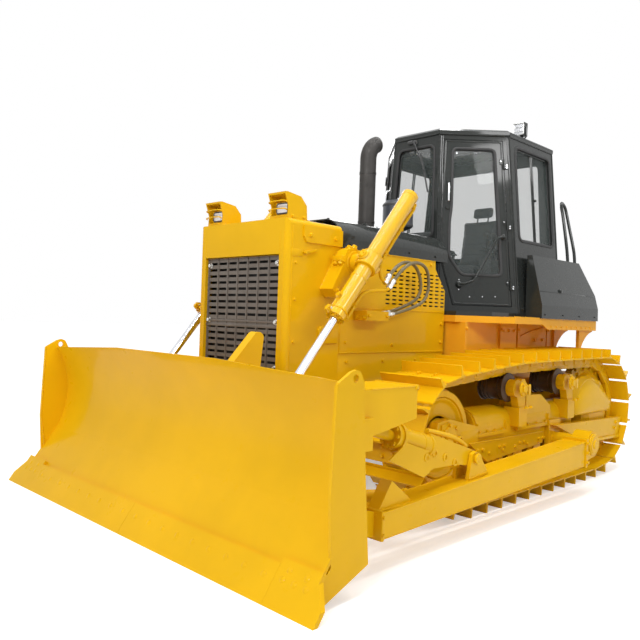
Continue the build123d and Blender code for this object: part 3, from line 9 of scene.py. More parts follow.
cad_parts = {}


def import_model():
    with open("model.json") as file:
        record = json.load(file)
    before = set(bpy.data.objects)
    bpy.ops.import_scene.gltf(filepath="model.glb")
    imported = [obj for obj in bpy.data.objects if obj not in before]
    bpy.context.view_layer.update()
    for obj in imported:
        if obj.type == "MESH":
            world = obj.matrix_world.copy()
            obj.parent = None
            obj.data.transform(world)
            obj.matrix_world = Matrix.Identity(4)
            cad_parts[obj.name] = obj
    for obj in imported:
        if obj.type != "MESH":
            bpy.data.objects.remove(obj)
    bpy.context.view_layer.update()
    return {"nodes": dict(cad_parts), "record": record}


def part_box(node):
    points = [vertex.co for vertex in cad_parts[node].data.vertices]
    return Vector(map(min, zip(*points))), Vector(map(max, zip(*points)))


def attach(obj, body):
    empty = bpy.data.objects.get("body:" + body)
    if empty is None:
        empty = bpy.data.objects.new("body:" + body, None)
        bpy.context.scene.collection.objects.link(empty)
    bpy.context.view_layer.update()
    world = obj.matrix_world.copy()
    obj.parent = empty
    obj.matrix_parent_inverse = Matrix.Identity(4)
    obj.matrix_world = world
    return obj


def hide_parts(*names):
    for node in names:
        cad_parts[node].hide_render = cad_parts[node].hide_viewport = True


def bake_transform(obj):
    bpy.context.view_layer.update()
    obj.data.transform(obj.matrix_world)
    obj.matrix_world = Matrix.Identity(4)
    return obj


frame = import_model()

# The machine's left is +X, -Y is forward and +Z is up. Sizes are in millimetres unless they say metres.
X, Y, Z = Vector((1, 0, 0)), Vector((0, 1, 0)), Vector((0, 0, 1))
MM = 0.001
SMOOTH_ANGLE = math.radians(32)
random.seed(16)


# ================================ mesh helpers ================================

def axes_along(direction):
    """Three unit vectors, the last along direction."""
    n = Vector(direction).normalized()
    helper = Z if abs(n.z) < 0.9 else Y
    u = helper.cross(n).normalized()
    return u, n.cross(u), n


def neighbours(items):
    """Each item with the one after it, and the last with the first."""
    return zip(items, items[1:] + items[:1])


def on_circle(centre, u, v, radius, angle):
    return centre + u * (radius * math.cos(angle)) + v * (radius * math.sin(angle))


def ring(bm, centre, u, v, radius, sides, turn=0.0):
    """A closed row of points round a circle."""
    angles = [turn + 2 * math.pi * i / sides for i in range(sides)]
    return [bm.verts.new(on_circle(centre, u, v, radius, angle)) for angle in angles]


def bridge(bm, a, b):
    """Faces between two closed rows of points."""
    n = len(a)
    for i in range(n):
        bm.faces.new((a[i], a[(i + 1) % n], b[(i + 1) % n], b[i]))


def skin(bm, rows):
    """Faces between neighbouring rows of points, and over the first and the last."""
    for a, b in zip(rows, rows[1:]):
        bridge(bm, a, b)
    bm.faces.new(list(reversed(rows[0])))
    bm.faces.new(rows[-1])


def soften(bm, edges, width):
    """Rounds edges off."""
    if width:
        bmesh.ops.bevel(bm, geom=list(edges), offset=width, segments=2, profile=0.5, affect="EDGES")


def lathe(bm, origin, direction, outline, sides=24, turn=0.0):
    """A turned form: (distance along the axis, radius) points from one end to the other."""
    u, v, n = axes_along(direction)
    origin = Vector(origin)
    skin(bm, [ring(bm, origin + n * s, u, v, max(radius, 0.01), sides, turn) for s, radius in outline])


def twins(bm, at, half, outline, sides=32):
    """The same turned form on both faces of a part that is 2 * half thick along X."""
    for way in (X, -X):
        lathe(bm, Vector(at) + way * half, way, outline, sides)


def band(radius, width, chamfer):
    """A turned ring's outline, with both its edges chamfered off by (along the axis, across it)."""
    run, drop = chamfer
    return [(0, radius - drop), (run, radius), (width - run, radius), (width, radius - drop)]


def bar(bm, p, q, radius, sides=16, chamfer=0.0):
    """A round bar from p to q."""
    p, q = Vector(p), Vector(q)
    length = (q - p).length
    outline = band(radius, length, (chamfer, chamfer)) if chamfer else [(0, radius), (length, radius)]
    lathe(bm, p, q - p, outline, sides)


def box(bm, lo, hi, bevel=0.0):
    lo, hi = Vector(lo), Vector(hi)
    verts = bmesh.ops.create_cube(bm, size=1.0)["verts"]
    for vert in verts:
        vert.co = [(lo[k] + hi[k]) / 2 + vert.co[k] * (hi[k] - lo[k]) for k in range(3)]
    soften(bm, {edge for vert in verts for edge in vert.link_edges}, bevel)


def prism(bm, outline, origin, u, v, depth, bevel=0.0):
    """A flat outline of (u, v) points on a plane, drawn out by depth along u x v."""
    origin, u, v = Vector(origin), Vector(u).normalized(), Vector(v).normalized()
    n = u.cross(v)
    low = [bm.verts.new(origin + u * a + v * b) for a, b in outline]
    top = [bm.verts.new(origin + u * a + v * b + n * depth) for a, b in outline]
    ends = [bm.faces.new(list(reversed(low))), bm.faces.new(top)]
    bridge(bm, low, top)
    soften(bm, [edge for face in ends for edge in face.edges], bevel)


def plate(bm, outline, x, thick, bevel=2.0):
    """A (y, z) outline drawn out along X from x by thick."""
    prism(bm, outline, (x, 0, 0), Y, Z, thick, bevel)


def tube(bm, points, radius, sides=12):
    """A round tube along a chain of points."""
    points = [Vector(p) for p in points]
    u = axes_along(points[1] - points[0])[0]
    rows = []
    for i, p in enumerate(points):
        n = (points[min(i + 1, len(points) - 1)] - points[max(i - 1, 0)]).normalized()
        u = (u - n * u.dot(n)).normalized()
        rows.append(ring(bm, p, u, n.cross(u), radius, sides))
    skin(bm, rows)


def bent(bm, control, radius, sides, steps):
    """A round rail bent smoothly through control points, with so many steps between two of them."""
    pts = [Vector(p) for p in control]
    out = []
    for i in range(len(pts) - 1):
        p0, p1 = pts[max(i - 1, 0)], pts[i]
        p2, p3 = pts[i + 1], pts[min(i + 2, len(pts) - 1)]
        for k in range(steps):
            t = k / steps
            out.append(0.5 * (2 * p1 + (p2 - p0) * t + (2 * p0 - 5 * p1 + 4 * p2 - p3) * t * t
                              + (3 * p1 - p0 - 3 * p2 + p3) * t ** 3))
    out.append(pts[-1])
    tube(bm, out, radius, sides)


def weld(bm, p, q, radius=5.0):
    """A rippled bead along a joint."""
    p, q = Vector(p), Vector(q)
    length = (q - p).length
    steps = 2 * max(2, int(length / (radius * 2.2)))
    u, v, n = axes_along(q - p)
    rows = []
    for i in range(steps + 1):
        swell = radius * (1.0 if i % 2 else 0.8)
        rows.append(ring(bm, p + n * (length * i / steps), u, v, swell, 6))
    skin(bm, rows)


def bolt(bm, at, normal, size=24.0, washer=True):
    """Hex head bolt standing on a surface; size is across the flats."""
    n = axes_along(normal)[2]
    at = Vector(at)
    turn = random.uniform(0, math.pi / 3)
    base = 0.0
    if washer:
        outline = [(0, size * 0.8), (2 + size * 0.10, size * 0.8), (2 + size * 0.12, size * 0.76)]
        lathe(bm, at - n * 2, n, outline, 16)
        base = size * 0.12
    corner = size / math.sqrt(3)
    height = size * 0.62
    head = [(0, corner), (height, corner), (height + size * 0.07, corner * 0.86)]
    lathe(bm, at + n * (base - 1), n, head, 6, turn)


def bolt_row(bm, p, q, count, normal, size=24.0):
    p, q = Vector(p), Vector(q)
    for i in range(count):
        bolt(bm, p.lerp(q, i / max(count - 1, 1)), normal, size)


def ring_bolts(bm, centre, normal, radius, count, size=20.0, start=0.0):
    u, v, n = axes_along(normal)
    for i in range(count):
        bolt(bm, on_circle(Vector(centre), u, v, radius, start + 2 * math.pi * i / count), n, size)


def rectangle(a0, b0, a1, b1):
    return [(a0, b0), (a1, b0), (a1, b1), (a0, b1)]


def rounded(points, radius, steps=5):
    """A flat outline with its corners rounded off."""
    points = [Vector(p) for p in points]
    out = []
    for i, p in enumerate(points):
        a, b = points[i - 1], points[(i + 1) % len(points)]
        start = p + (a - p).normalized() * min(radius, (a - p).length / 2)
        end = p + (b - p).normalized() * min(radius, (b - p).length / 2)
        for k in range(steps + 1):
            t = k / steps
            out.append(start * (1 - t) ** 2 + p * (2 * t * (1 - t)) + end * t * t)
    return out


def offset(points, d):
    """A counter-clockwise outline moved inwards by d."""
    points = [Vector(p) for p in points]
    out = []
    for i, p in enumerate(points):
        e1, e2 = (p - points[i - 1]).normalized(), (points[(i + 1) % len(points)] - p).normalized()
        n1, n2 = Vector((-e1.y, e1.x)), Vector((-e2.y, e2.x))
        out.append(p + (n1 + n2) * (d / (1 + n1.dot(n2))))
    return out


def edging(bm, spot, outline, width, height, base=0.0):
    """A rounded strip that runs round a closed outline; spot(u, v, out) gives places on its surface."""
    rows = []
    for share, rise in ((0, -0.1), (0.1, 0.7), (0.35, 1), (0.65, 1), (0.9, 0.7), (1, -0.1)):
        line = offset(outline, share * width)
        rows.append([bm.verts.new(spot(p.x, p.y, base + rise * height)) for p in line])
    for a, b in neighbours(rows):
        bridge(bm, a, b)


def gasket(bm, spot, outline, corner, depth):
    """A window's rubber: a bead on the frame round the opening, and a lip down in it."""
    shape = rounded(outline, corner, 6)
    edging(bm, spot, offset(shape, -14), 26, 9)
    edging(bm, spot, offset(shape, 1), 14, 6, depth)


def facing_front(y):
    """Places on a plane that looks forward: x, z and the distance out from it."""
    def spot(x, z, out):
        return Vector((x, y - out, z))
    return spot


def holed_plate(bm, outline, centre, radius, x, thick, steps=48):
    """A (y, z) outline with a round hole through it, drawn out along X from x."""
    corners = [Vector(p) - Vector(centre) for p in outline]
    rows = [[], [], [], []]
    for i in range(steps):
        angle = 2 * math.pi * i / steps
        ray = Vector((math.cos(angle), math.sin(angle)))
        reach = min(hit for hit in (ray_hit(ray, a, b) for a, b in neighbours(corners)) if hit)
        for row, r, place in zip(rows, (reach, reach, radius, radius), (x, x + thick, x + thick, x)):
            row.append(bm.verts.new((place, centre[0] + ray.x * r, centre[1] + ray.y * r)))
    for a, b in neighbours(rows):
        bridge(bm, a, b)


def ray_hit(ray, a, b):
    """How far along the ray from the origin it meets the run from a to b, or None."""
    run = b - a
    det = ray.x * run.y - ray.y * run.x
    if abs(det) < 1e-9:
        return None
    t = (a.x * run.y - a.y * run.x) / det
    share = (a.x * ray.y - a.y * ray.x) / det
    return t if t > 0 and -1e-6 <= share <= 1 + 1e-6 else None


def span(node):
    """Lowest and highest corner of a CAD node at rest, in millimetres."""
    lo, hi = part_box(node)
    return Vector(lo) / MM, Vector(hi) / MM


def mirrored(bm):
    """Adds the other side's copy of everything so far."""
    made = bmesh.ops.duplicate(bm, geom=bm.verts[:] + bm.edges[:] + bm.faces[:])["geom"]
    for vert in made:
        if isinstance(vert, bmesh.types.BMVert):
            vert.co.x = -vert.co.x
    bmesh.ops.reverse_faces(bm, faces=[face for face in made if isinstance(face, bmesh.types.BMFace)])


def flip(bm, sign):
    """Moves what was drawn for the left over to the side that sign names."""
    for vert in bm.verts:
        vert.co.x *= sign


def link(name, data):
    obj = bpy.data.objects.new(name, data)
    bpy.context.scene.collection.objects.link(obj)
    return obj


def baked(obj):
    """The object's mesh with its modifiers applied."""
    return bpy.data.meshes.new_from_object(obj.evaluated_get(bpy.context.evaluated_depsgraph_get()))


def piece(name, bm, body, slot, replaces=(), material=None):
    """Turns a mesh drawn in millimetres into a scene piece that rides on a body."""
    bmesh.ops.recalc_face_normals(bm, faces=bm.faces[:])
    mesh = bpy.data.meshes.new(name)
    bm.to_mesh(mesh)
    bm.free()
    mesh.transform(Matrix.Scale(MM, 4))
    mesh.shade_smooth()
    mesh.set_sharp_from_angle(angle=SMOOTH_ANGLE)
    obj = link(name, mesh)
    mesh.materials.append(MATERIALS[material or slot])
    if body:
        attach(obj, body)
    if replaces:
        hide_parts(*replaces)
    return obj


# ================================ materials ================================

class Graph:
    """A material's node tree, with short ways to add and join nodes."""

    def __init__(self, name):
        self.material = bpy.data.materials.new(name)
        self.material.use_nodes = True
        self.tree = self.material.node_tree
        self.shader = self.tree.nodes["Principled BSDF"]

    def add(self, kind, **inputs):
        node = self.tree.nodes.new(kind)
        for key, value in inputs.items():
            node.inputs[key].default_value = value
        return node

    def pattern(self, kind, out, **inputs):
        """A texture in the object's own coordinates; gives its output."""
        node = self.add(kind, **inputs)
        coords = self.tree.nodes.get("Texture Coordinate") or self.add("ShaderNodeTexCoord")
        self.tree.links.new(coords.outputs["Object"], node.inputs["Vector"])
        return node.outputs[out]

    def noise(self, scale, detail=3.0, roughness=0.5):
        return self.pattern("ShaderNodeTexNoise", "Fac", Scale=scale, Detail=detail, Roughness=roughness)

    def vary(self, source, low, high, dark, light, into="Base Color"):
        """Drives one of the shader's inputs from dark to light as the source goes from low to high."""
        node = self.add("ShaderNodeValToRGB")
        for element, place, colour in zip(node.color_ramp.elements, (low, high), (dark, light)):
            element.position = place
            element.color = (*colour, 1)
        self.tree.links.new(source, node.inputs["Fac"])
        self.tree.links.new(node.outputs["Color"], self.shader.inputs[into])

    def gloss(self, source, low, high, smooth, rough):
        self.vary(source, low, high, (smooth,) * 3, (rough,) * 3, "Roughness")

    def bump(self, source, distance, strength):
        node = self.add("ShaderNodeBump", Distance=distance, Strength=strength)
        self.tree.links.new(source, node.inputs["Height"])
        self.tree.links.new(node.outputs["Normal"], self.shader.inputs["Normal"])

    def set(self, **values):
        """Constants of the shader; _ stands for the space in a socket's name."""
        for key, value in values.items():
            self.shader.inputs[key.replace("_", " ")].default_value = value


def shade(colour, factor):
    return tuple(min(1.0, c * factor) for c in colour)


def paint(name, colour, roughness, coat, peel=0.0004, spread=0.05):
    """Sprayed enamel: slow change of tone, orange peel and a clear coat."""
    g = Graph(name)
    g.vary(g.noise(1.4, 4.0, 0.6), 0.35, 0.65, shade(colour, 1 - spread), shade(colour, 1 + spread))
    g.gloss(g.noise(9.0, 5.0, 0.65), 0.3, 0.7, roughness * 0.8, roughness * 1.25)
    g.bump(g.noise(260.0, 2.0), peel, 0.35)
    g.set(Coat_Weight=coat, Coat_Roughness=0.06, Specular_IOR_Level=0.05)
    return g.material


def metal(name, colour, roughness, metallic=1.0, grain=400.0, depth=0.0002):
    """Bare or blackened metal with a fine grain."""
    g = Graph(name)
    g.vary(g.noise(6.0, 5.0, 0.6), 0.3, 0.7, shade(colour, 0.88), shade(colour, 1.1))
    g.gloss(g.noise(14.0, 4.0), 0.3, 0.7, roughness * 0.75, roughness * 1.3)
    g.bump(g.noise(grain, 2.0), depth, 0.4)
    g.set(Metallic=metallic)
    return g.material


def glass(name, colour, alpha):
    g = Graph(name)
    g.gloss(g.noise(5.0, 4.0), 0.35, 0.75, 0.02, 0.07)
    g.set(Base_Color=(*colour, 1), Alpha=alpha, IOR=1.5)
    return g.material


def lens(name):
    """Ribbed lamp glass over a pale reflector."""
    g = Graph(name)
    ribs = g.pattern("ShaderNodeTexWave", "Fac", Scale=40.0)
    g.vary(ribs, 0.2, 0.8, (0.62, 0.63, 0.66), (0.86, 0.87, 0.90))
    g.bump(ribs, 0.001, 0.5)
    g.set(Roughness=0.15, Coat_Weight=0.6, Coat_Roughness=0.05)
    return g.material


def vinyl(name, colour):
    """Seat covering: fine leather grain."""
    g = Graph(name)
    g.vary(g.noise(12.0, 4.0), 0.3, 0.7, shade(colour, 0.85), shade(colour, 1.2))
    g.bump(g.pattern("ShaderNodeTexVoronoi", "Distance", Scale=420.0), 0.0006, 0.6)
    g.set(Roughness=0.5)
    return g.material


def plastic(name, colour, roughness):
    g = Graph(name)
    g.vary(g.noise(8.0, 3.0), 0.3, 0.7, shade(colour, 0.9), shade(colour, 1.12))
    g.bump(g.noise(600.0, 2.0), 0.0003, 0.5)
    g.set(Roughness=roughness)
    return g.material


YELLOW = (0.76, 0.43, 0.004)
ORANGE = (0.84, 0.40, 0.020)
BLACK = (0.026, 0.029, 0.027)
BROWN = (0.145, 0.122, 0.102)
GREY = (0.036, 0.033, 0.030)
RECIPES = {
    "yellow_paint": (paint, YELLOW, 0.32, 0.16),
    "gloss_yellow": (paint, YELLOW, 0.25, 0.9, 0.0001),
    "fender_paint": (paint, ORANGE, 0.34, 0.16),
    "black_paint": (paint, BLACK, 0.28, 0.6, 0.0004, 0.1),
    "grille_steel": (metal, BROWN, 0.5, 0.3),
    "dark_metal": (metal, GREY, 0.55, 0.4),
    "chrome_rod": (metal, (0.78, 0.79, 0.82), 0.09, 1.0, 900.0, 0.00003),
    "window_glass": (glass, (0.16, 0.19, 0.18), 0.16),
    "seat_vinyl": (vinyl, (0.045, 0.045, 0.05)),
    "console_plastic": (plastic, (0.05, 0.05, 0.05), 0.6),
    "hose_rubber": (plastic, (0.17, 0.135, 0.060), 0.38),
    "rubber": (plastic, (0.018, 0.018, 0.018), 0.55),
    "zinc": (metal, (0.62, 0.62, 0.60), 0.32),
    "bright": (metal, (0.85, 0.86, 0.88), 0.15),
    "lens": (lens,),
    # dark brown of the carrier rollers and their ridges: partly grease, partly painted shade
    "greasy": (metal, (0.075, 0.045, 0.026), 0.4, 0.5),
    "drum": (plastic, (0.060, 0.066, 0.078), 0.35),
}
MATERIALS = {name: recipe[0](name, *recipe[1:]) for name, recipe in RECIPES.items()}
# CAD nodes whose finish is finer than their slot's; the carrier rollers get a dark brown that stands for
# grease and for painted shade
FINISHES = {"carrier_rollers": "greasy", "air_precleaner": "drum"}


def dress_frame():
    """Gives every CAD node its own finish, or the one of the slot that the record names for it."""
    slots = {row["node"]: row["material_slot"] for row in frame["record"]["subparts"]}
    for name, obj in frame["nodes"].items():
        obj.data.materials.clear()
        obj.data.materials.append(MATERIALS[FINISHES.get(name, slots[name])])


# ================================ tracks ================================

SHOES = 37
SHOE_WIDTH = 510.0
TRACK_X = 940.0
PLATE_IN = 39.0
PLATE_OUT = 50.0
GROUSER_HEIGHT = 72.0
GROUSER_TIP = 13.0
LIP = 8.0
RAIL_DEPTH = 56.0
RAIL_WIDTH = 40.0
RAIL_GAP = 104.0
FIRST_PIN = 66.0
# neighbouring links lap each other, each a little narrower or wider than the next
LINK_INSETS = [1.0, 3.0] * (SHOES // 2) + [5.0]
GROUND_PITCH_Z = PLATE_OUT + GROUSER_HEIGHT
IDLER_AT = (-712.0, 545.0)
SPROCKET_AT = (1700.0, 588.0)
CARRIERS = [(152.0, 855.0), (983.0, 868.0)]
TURN_R = 160.0
# (y, z, pitch radius) of what the chain's pitch line goes round: idler, carrier rollers, sprocket, two turns
PITCH_CIRCLES = [(*IDLER_AT, 395.0), (*CARRIERS[0], 156.0), (*CARRIERS[1], 156.0), (*SPROCKET_AT, 440.5),
                 (1500.0, GROUND_PITCH_Z + TURN_R, TURN_R), (-590.0, GROUND_PITCH_Z + TURN_R, TURN_R)]


def pitch_line(circles):
    """Straight and arc stretches of the belt round the circles, top run first."""
    lines = []
    for a, b in neighbours(circles):
        gap = math.hypot(b[0] - a[0], b[1] - a[1])
        heading = math.atan2(b[1] - a[1], b[0] - a[0]) + math.asin((b[2] - a[2]) / gap)
        length = math.sqrt(gap ** 2 - (b[2] - a[2]) ** 2)
        start = (a[0] - a[2] * math.sin(heading), a[1] + a[2] * math.cos(heading))
        lines.append((start, heading, length, b))
    stretches = []
    for (start, heading, length, circle), following in neighbours(lines):
        turn = (heading - following[1]) % (2 * math.pi)
        stretches.append(("line", start, heading, length))
        stretches.append(("arc", circle, heading, turn * circle[2]))
    return stretches


def along(stretches, s):
    """The place s along the belt."""
    for kind, place, heading, length in stretches:
        if s <= length:
            break
        s -= length
    if kind == "line":
        return (place[0] + s * math.cos(heading), place[1] + s * math.sin(heading))
    angle = heading - s / place[2]
    return (place[0] - place[2] * math.sin(angle), place[1] + place[2] * math.cos(angle))


def track_pins():
    line = pitch_line(PITCH_CIRCLES)
    total = sum(stretch[3] for stretch in line)
    pitch = total / SHOES
    return [along(line, (FIRST_PIN + k * pitch) % total) for k in range(SHOES)]


def shoe(bm, x, pin, after, inset):
    """One shoe with its grouser, its two link plates, the pin between them and four bolts."""
    along_link = Vector((0, after[0] - pin[0], after[1] - pin[1]))
    pitch = along_link.length
    t = along_link.normalized()
    out = Vector((0, -t.z, t.y))
    at = Vector((x, *pin))
    rib, end = 0.80 * pitch, pitch + LIP - 4
    tip = rib + 5 + GROUSER_TIP
    section = [(LIP, PLATE_IN), (LIP, PLATE_OUT - LIP), (LIP + 6, PLATE_OUT), (rib, PLATE_OUT),
               (rib + 5, GROUND_PITCH_Z), (tip, GROUND_PITCH_Z), (tip + 5, PLATE_OUT), (end, PLATE_OUT - 2),
               (end, PLATE_IN)]
    prism(bm, section, at - X * (SHOE_WIDTH / 2), t, out, SHOE_WIDTH, 1.6)
    link_side = [(-38, -30), (-26, -48), (14, -RAIL_DEPTH), (pitch - 44, -RAIL_DEPTH), (pitch - 8, -44),
                 (pitch + 30, -34), (pitch + 38, -2), (pitch + 26, 30), (pitch - 14, PLATE_IN),
                 (22, PLATE_IN), (-20, 32), (-36, 8)]
    for near in (x - RAIL_GAP / 2 - RAIL_WIDTH, x + RAIL_GAP / 2):
        prism(bm, link_side, (near + inset, at.y, at.z), t, out, RAIL_WIDTH - 2 * inset, 3.0)
    for half, radius, chamfer in ((RAIL_GAP / 2 + RAIL_WIDTH + 6, 22, 3), (RAIL_GAP / 2, 31, 0)):
        bar(bm, at - X * half, at + X * half, radius, 16, chamfer)
    for way in (-X, X):
        for share in (0.30, 0.60):
            spot = at + t * (pitch * share) + way * (RAIL_GAP / 2 + RAIL_WIDTH / 2)
            bolt(bm, spot + out * PLATE_OUT, out, 26, False)


def track(side, sign):
    bm = bmesh.new()
    for (pin, after), inset in zip(neighbours(track_pins()), LINK_INSETS):
        shoe(bm, sign * TRACK_X, pin, after, inset)
    piece("track_detail_" + side, bm, "machine", "yellow_paint", replaces=("track_" + side,))


# ================================ undercarriage ================================

ROLLER_Z = GROUND_PITCH_Z + RAIL_DEPTH + 105.0
ROLLER_YS = [-318.0 + i * 303.6 for i in range(6)]
RECOIL_COVERS = [(-330.0, 70.0), (230.0, 760.0)]
RECOIL_Z = (520.0, 545.0)
SIDE_PLATE_X = TRACK_X + 160.0
REAR_GUARD_X = 1150.0
DRIVE_FACE_X = 1128.0
# (x, size) of the drive cover's outline as it rounds over, from the joint out
DRIVE_DOME = [(1088.0, 0.995), (1096.0, 1.0), (1112.0, 0.97), (1128.0, 0.91), (1140.0, 0.83), (1148.0, 0.70),
              (1153.0, 0.45), (1154.0, 0.12)]


def idler_details(bm):
    """Hub caps, a dished web with its casting marks, and the yoke's cap with bolts."""
    y, z = IDLER_AT
    web = [(0, 148), (10, 150), (16, 168), (14, 236), (22, 252), (30, 258), (34, 268), (30, 276), (0, 280)]
    lathe(bm, (TRACK_X + 52, y, z), X, web, 64)
    yoke = TRACK_X + 150
    cap = [(y - 96, z + 40), (y - 88, z + 104), (y + 4, z + 118), (y + 88, z + 92), (y + 88, z - 34),
           (y + 40, z - 48), (y - 60, z - 22)]
    plate(bm, cap, yoke - 2, 14, 4)
    lathe(bm, (yoke + 10, y, z + 38), X, [(0, 58), (12, 58), (20, 50), (20, 0)], 40)
    for dy, dz in ((-70, 62), (-8, 98), (66, 76), (66, -16)):
        bolt(bm, (yoke + 12, y + dy, z + dz), X, 26)
    lathe(bm, (yoke - 2, y + 131, z - 19), X, [(0, 34), (18, 34), (22, 29), (22, 19), (4, 19), (4, 0)], 28)
    box(bm, (TRACK_X + 86, y + 160, z - 66), (TRACK_X + 152, y + 378, z + 40), 6)


def track_frame_details(bm):
    """Recoil cover bolts and flanges, carrier collars and posts, roller ends, welds and plates."""
    low, high = RECOIL_Z
    roller_end = [(0, 84), (6, 84), (10, 78), (10, 46), (26, 46), (30, 40), (30, 0)]
    for y0, y1 in RECOIL_COVERS:
        bolt_row(bm, (TRACK_X + 139, y0 + 40, high), (TRACK_X + 139, y1 - 40, high), 4, Z, 20)
        weld(bm, (TRACK_X + 133, y0, high + 2), (TRACK_X + 133, y1, high + 2), 4)
        for y in (y0 + 1, y1 - 7):
            box(bm, (TRACK_X + 60, y, low), (TRACK_X + 146, y + 6, high + 70), 2)
    x = TRACK_X + 228
    for y, z in CARRIERS:
        lathe(bm, (x, y, z), X, [(0, 58), (8, 58), (14, 52), (14, 30), (22, 30), (26, 24), (26, 0)], 36)
        ring_bolts(bm, (x + 10, y, z), X, 42, 4, 16, 0.6)
        plate(bm, rounded(rectangle(y + 82, z - 52, y + 118, z + 34), 16), x, 4, 1)
        bolt_row(bm, (x + 8, y + 46, z - 150), (x + 8, y + 118, z - 150), 2, Z, 24)
        weld(bm, (x + 4, y + 40, z - 148), (x + 4, y + 140, z - 148))
    for y in ROLLER_YS:
        twins(bm, (TRACK_X, y, ROLLER_Z), 118, roller_end)
        bolt_row(bm, (SIDE_PLATE_X - 1, y - 34, 428), (SIDE_PLATE_X - 1, y + 34, 428), 2, X, 22)
    weld(bm, (SIDE_PLATE_X - 3, -420, 478), (SIDE_PLATE_X - 3, 610, 468), 4)
    plate(bm, [(-453, 486), (-447, 492), (625, 480), (625, 474)], SIDE_PLATE_X - 8, 14)


def carrier_rings(bm):
    """Ridges round the carrier rollers, dark brown for grease and for painted shade between the flanges."""
    for y, z in CARRIERS:
        for x in (-78, -46, 46, 78):
            lathe(bm, (TRACK_X + x, y, z), X, band(103, 14, (2, 8)), 48)


def final_drive_details(bm):
    """Domed cast cover with its joint's bolts, sprocket bolts and the rear guard bar."""
    y, z = SPROCKET_AT
    fan = rounded([(y - 569, z - 26), (y + 252, z - 26), (y + 252, z + 66), (y - 120, z + 272),
                   (y - 280, z + 322), (y - 470, z + 250), (y - 569, z + 120)], 90, 6)
    middle = Vector((y - 190, z + 96))
    skin(bm, [[bm.verts.new((x, *(middle + (p - middle) * share))) for p in fan] for x, share in DRIVE_DOME])
    for dy, dz in ((-470, 40), (-440, 150), (130, 20), (150, 80), (40, 150)):
        bolt(bm, (DRIVE_FACE_X - 4, y + dy, z + dz), X, 22)
    for dy, dz in ((-545, 10), (-480, 190), (-280, 292), (-60, 232), (180, 92)):
        bolt(bm, (DRIVE_DOME[0][0] + 2, y + dy, z + dz), X, 20)
    for i in range(18):
        a = 2 * math.pi * i / 18
        bolt(bm, (TRACK_X + 29, y + 368 * math.cos(a), z + 368 * math.sin(a)), X, 26)
    plate(bm, [(1359, 319), (1380, 345), (2052, 330), (2040, 304)], REAR_GUARD_X - 1, 16, 3)
    bolt_row(bm, (REAR_GUARD_X - 1, 1960, 400), (REAR_GUARD_X - 1, 1990, 450), 2, X, 24)
    bolt_row(bm, (SIDE_PLATE_X - 1, -380, 392), (SIDE_PLATE_X - 1, 560, 410), 6, X, 22)


# ================================ blade and push arms ================================

TIP_Y = -2570.0
EDGE_BACK, EDGE_RISE = 120.0, 168.0
EDGE_RUN = math.hypot(EDGE_BACK, EDGE_RISE)
EDGE_UP = Vector((0, EDGE_BACK / EDGE_RUN, EDGE_RISE / EDGE_RUN))
EDGE_OUT = Vector((0, -EDGE_RISE / EDGE_RUN, EDGE_BACK / EDGE_RUN))
BLADE_TOP_Y = TIP_Y + 208.0
BEAM_BACK = TIP_Y + 490.0
ARM_X = (1270.0, 1450.0)
ARM_MID = 1360.0
ARM_FRONT = TIP_Y + 744.0
BRACE_FOOT = (-885.0, 492.0)
BRACE_HEAD = (TIP_Y + 540.0, 800.0)
LIFT_X = 720.0
LIFT_EYE = Vector((LIFT_X, TIP_Y + 494, 640.0))


def push_arm_details(bm):
    """Welds and caps of the push arms, the nose's end cap, bolts of the housing's cap and bracket bosses."""
    x0, x1 = ARM_X
    for x in (x0 + 1, x1 - 1):
        weld(bm, (x, ARM_FRONT + 4, 316), (x, 651, 438))
        weld(bm, (x, ARM_FRONT + 4, 178), (x, 651, 256))
    box(bm, (x0 - 6, ARM_FRONT - 10, 166), (x1 + 6, ARM_FRONT + 14, 328), 5)
    for z in (200, 294):
        bolt(bm, (x1 + 5, ARM_FRONT + 2, z), X, 18, False)
    for x, way in ((x1 + 9, X), (x0 - 9, -X)):
        bolt_row(bm, (x, 668, 280), (x, 668, 430), 3, way, 22)
    cap = [(0, 88), (10, 88), (16, 82), (16, 74), (22, 70), (22, 40), (30, 34), (30, 0)]
    lathe(bm, (x1 - 22, 840, 400), X, cap, 44)
    y, z = BRACE_FOOT
    twins(bm, (ARM_MID, y, z), 74, [(0, 34), (8, 34), (12, 29), (12, 12), (16, 10), (16, 0)], 28)
    for x in (ARM_MID + 62, ARM_MID - 62):
        weld(bm, (x, y - 76, 372), (x, y + 140, 392))
    y, z = TIP_Y + 520, 300.0
    twins(bm, (ARM_MID, y, z), 84, [(0, 52), (10, 52), (15, 46), (15, 24), (20, 20), (20, 0)])
    for way in (X, -X):
        bolt(bm, Vector((ARM_MID, y, z + 36)) + way * 98, way, 18, False)
    box(bm, (ARM_MID - 34, ARM_FRONT - 2, 322), (ARM_MID + 74, ARM_FRONT + 300, 330), 3)


def edge_bolts(bm):
    """Flush domed heads of the cutting edge's bolts, and of the end bits' ones."""
    places = [(80 + i * 149, 132) for i in range(9)]
    places += [(1402, 140), (1480, 140), (1560, 140), (1420, 190), (1540, 186)]
    for x, up in places:
        at = Vector((x, TIP_Y, 0)) + EDGE_UP * up
        lathe(bm, at - EDGE_OUT * 2, EDGE_OUT, [(0, 17), (2.5, 17), (4.5, 13), (6, 6), (6.2, 0)], 20)


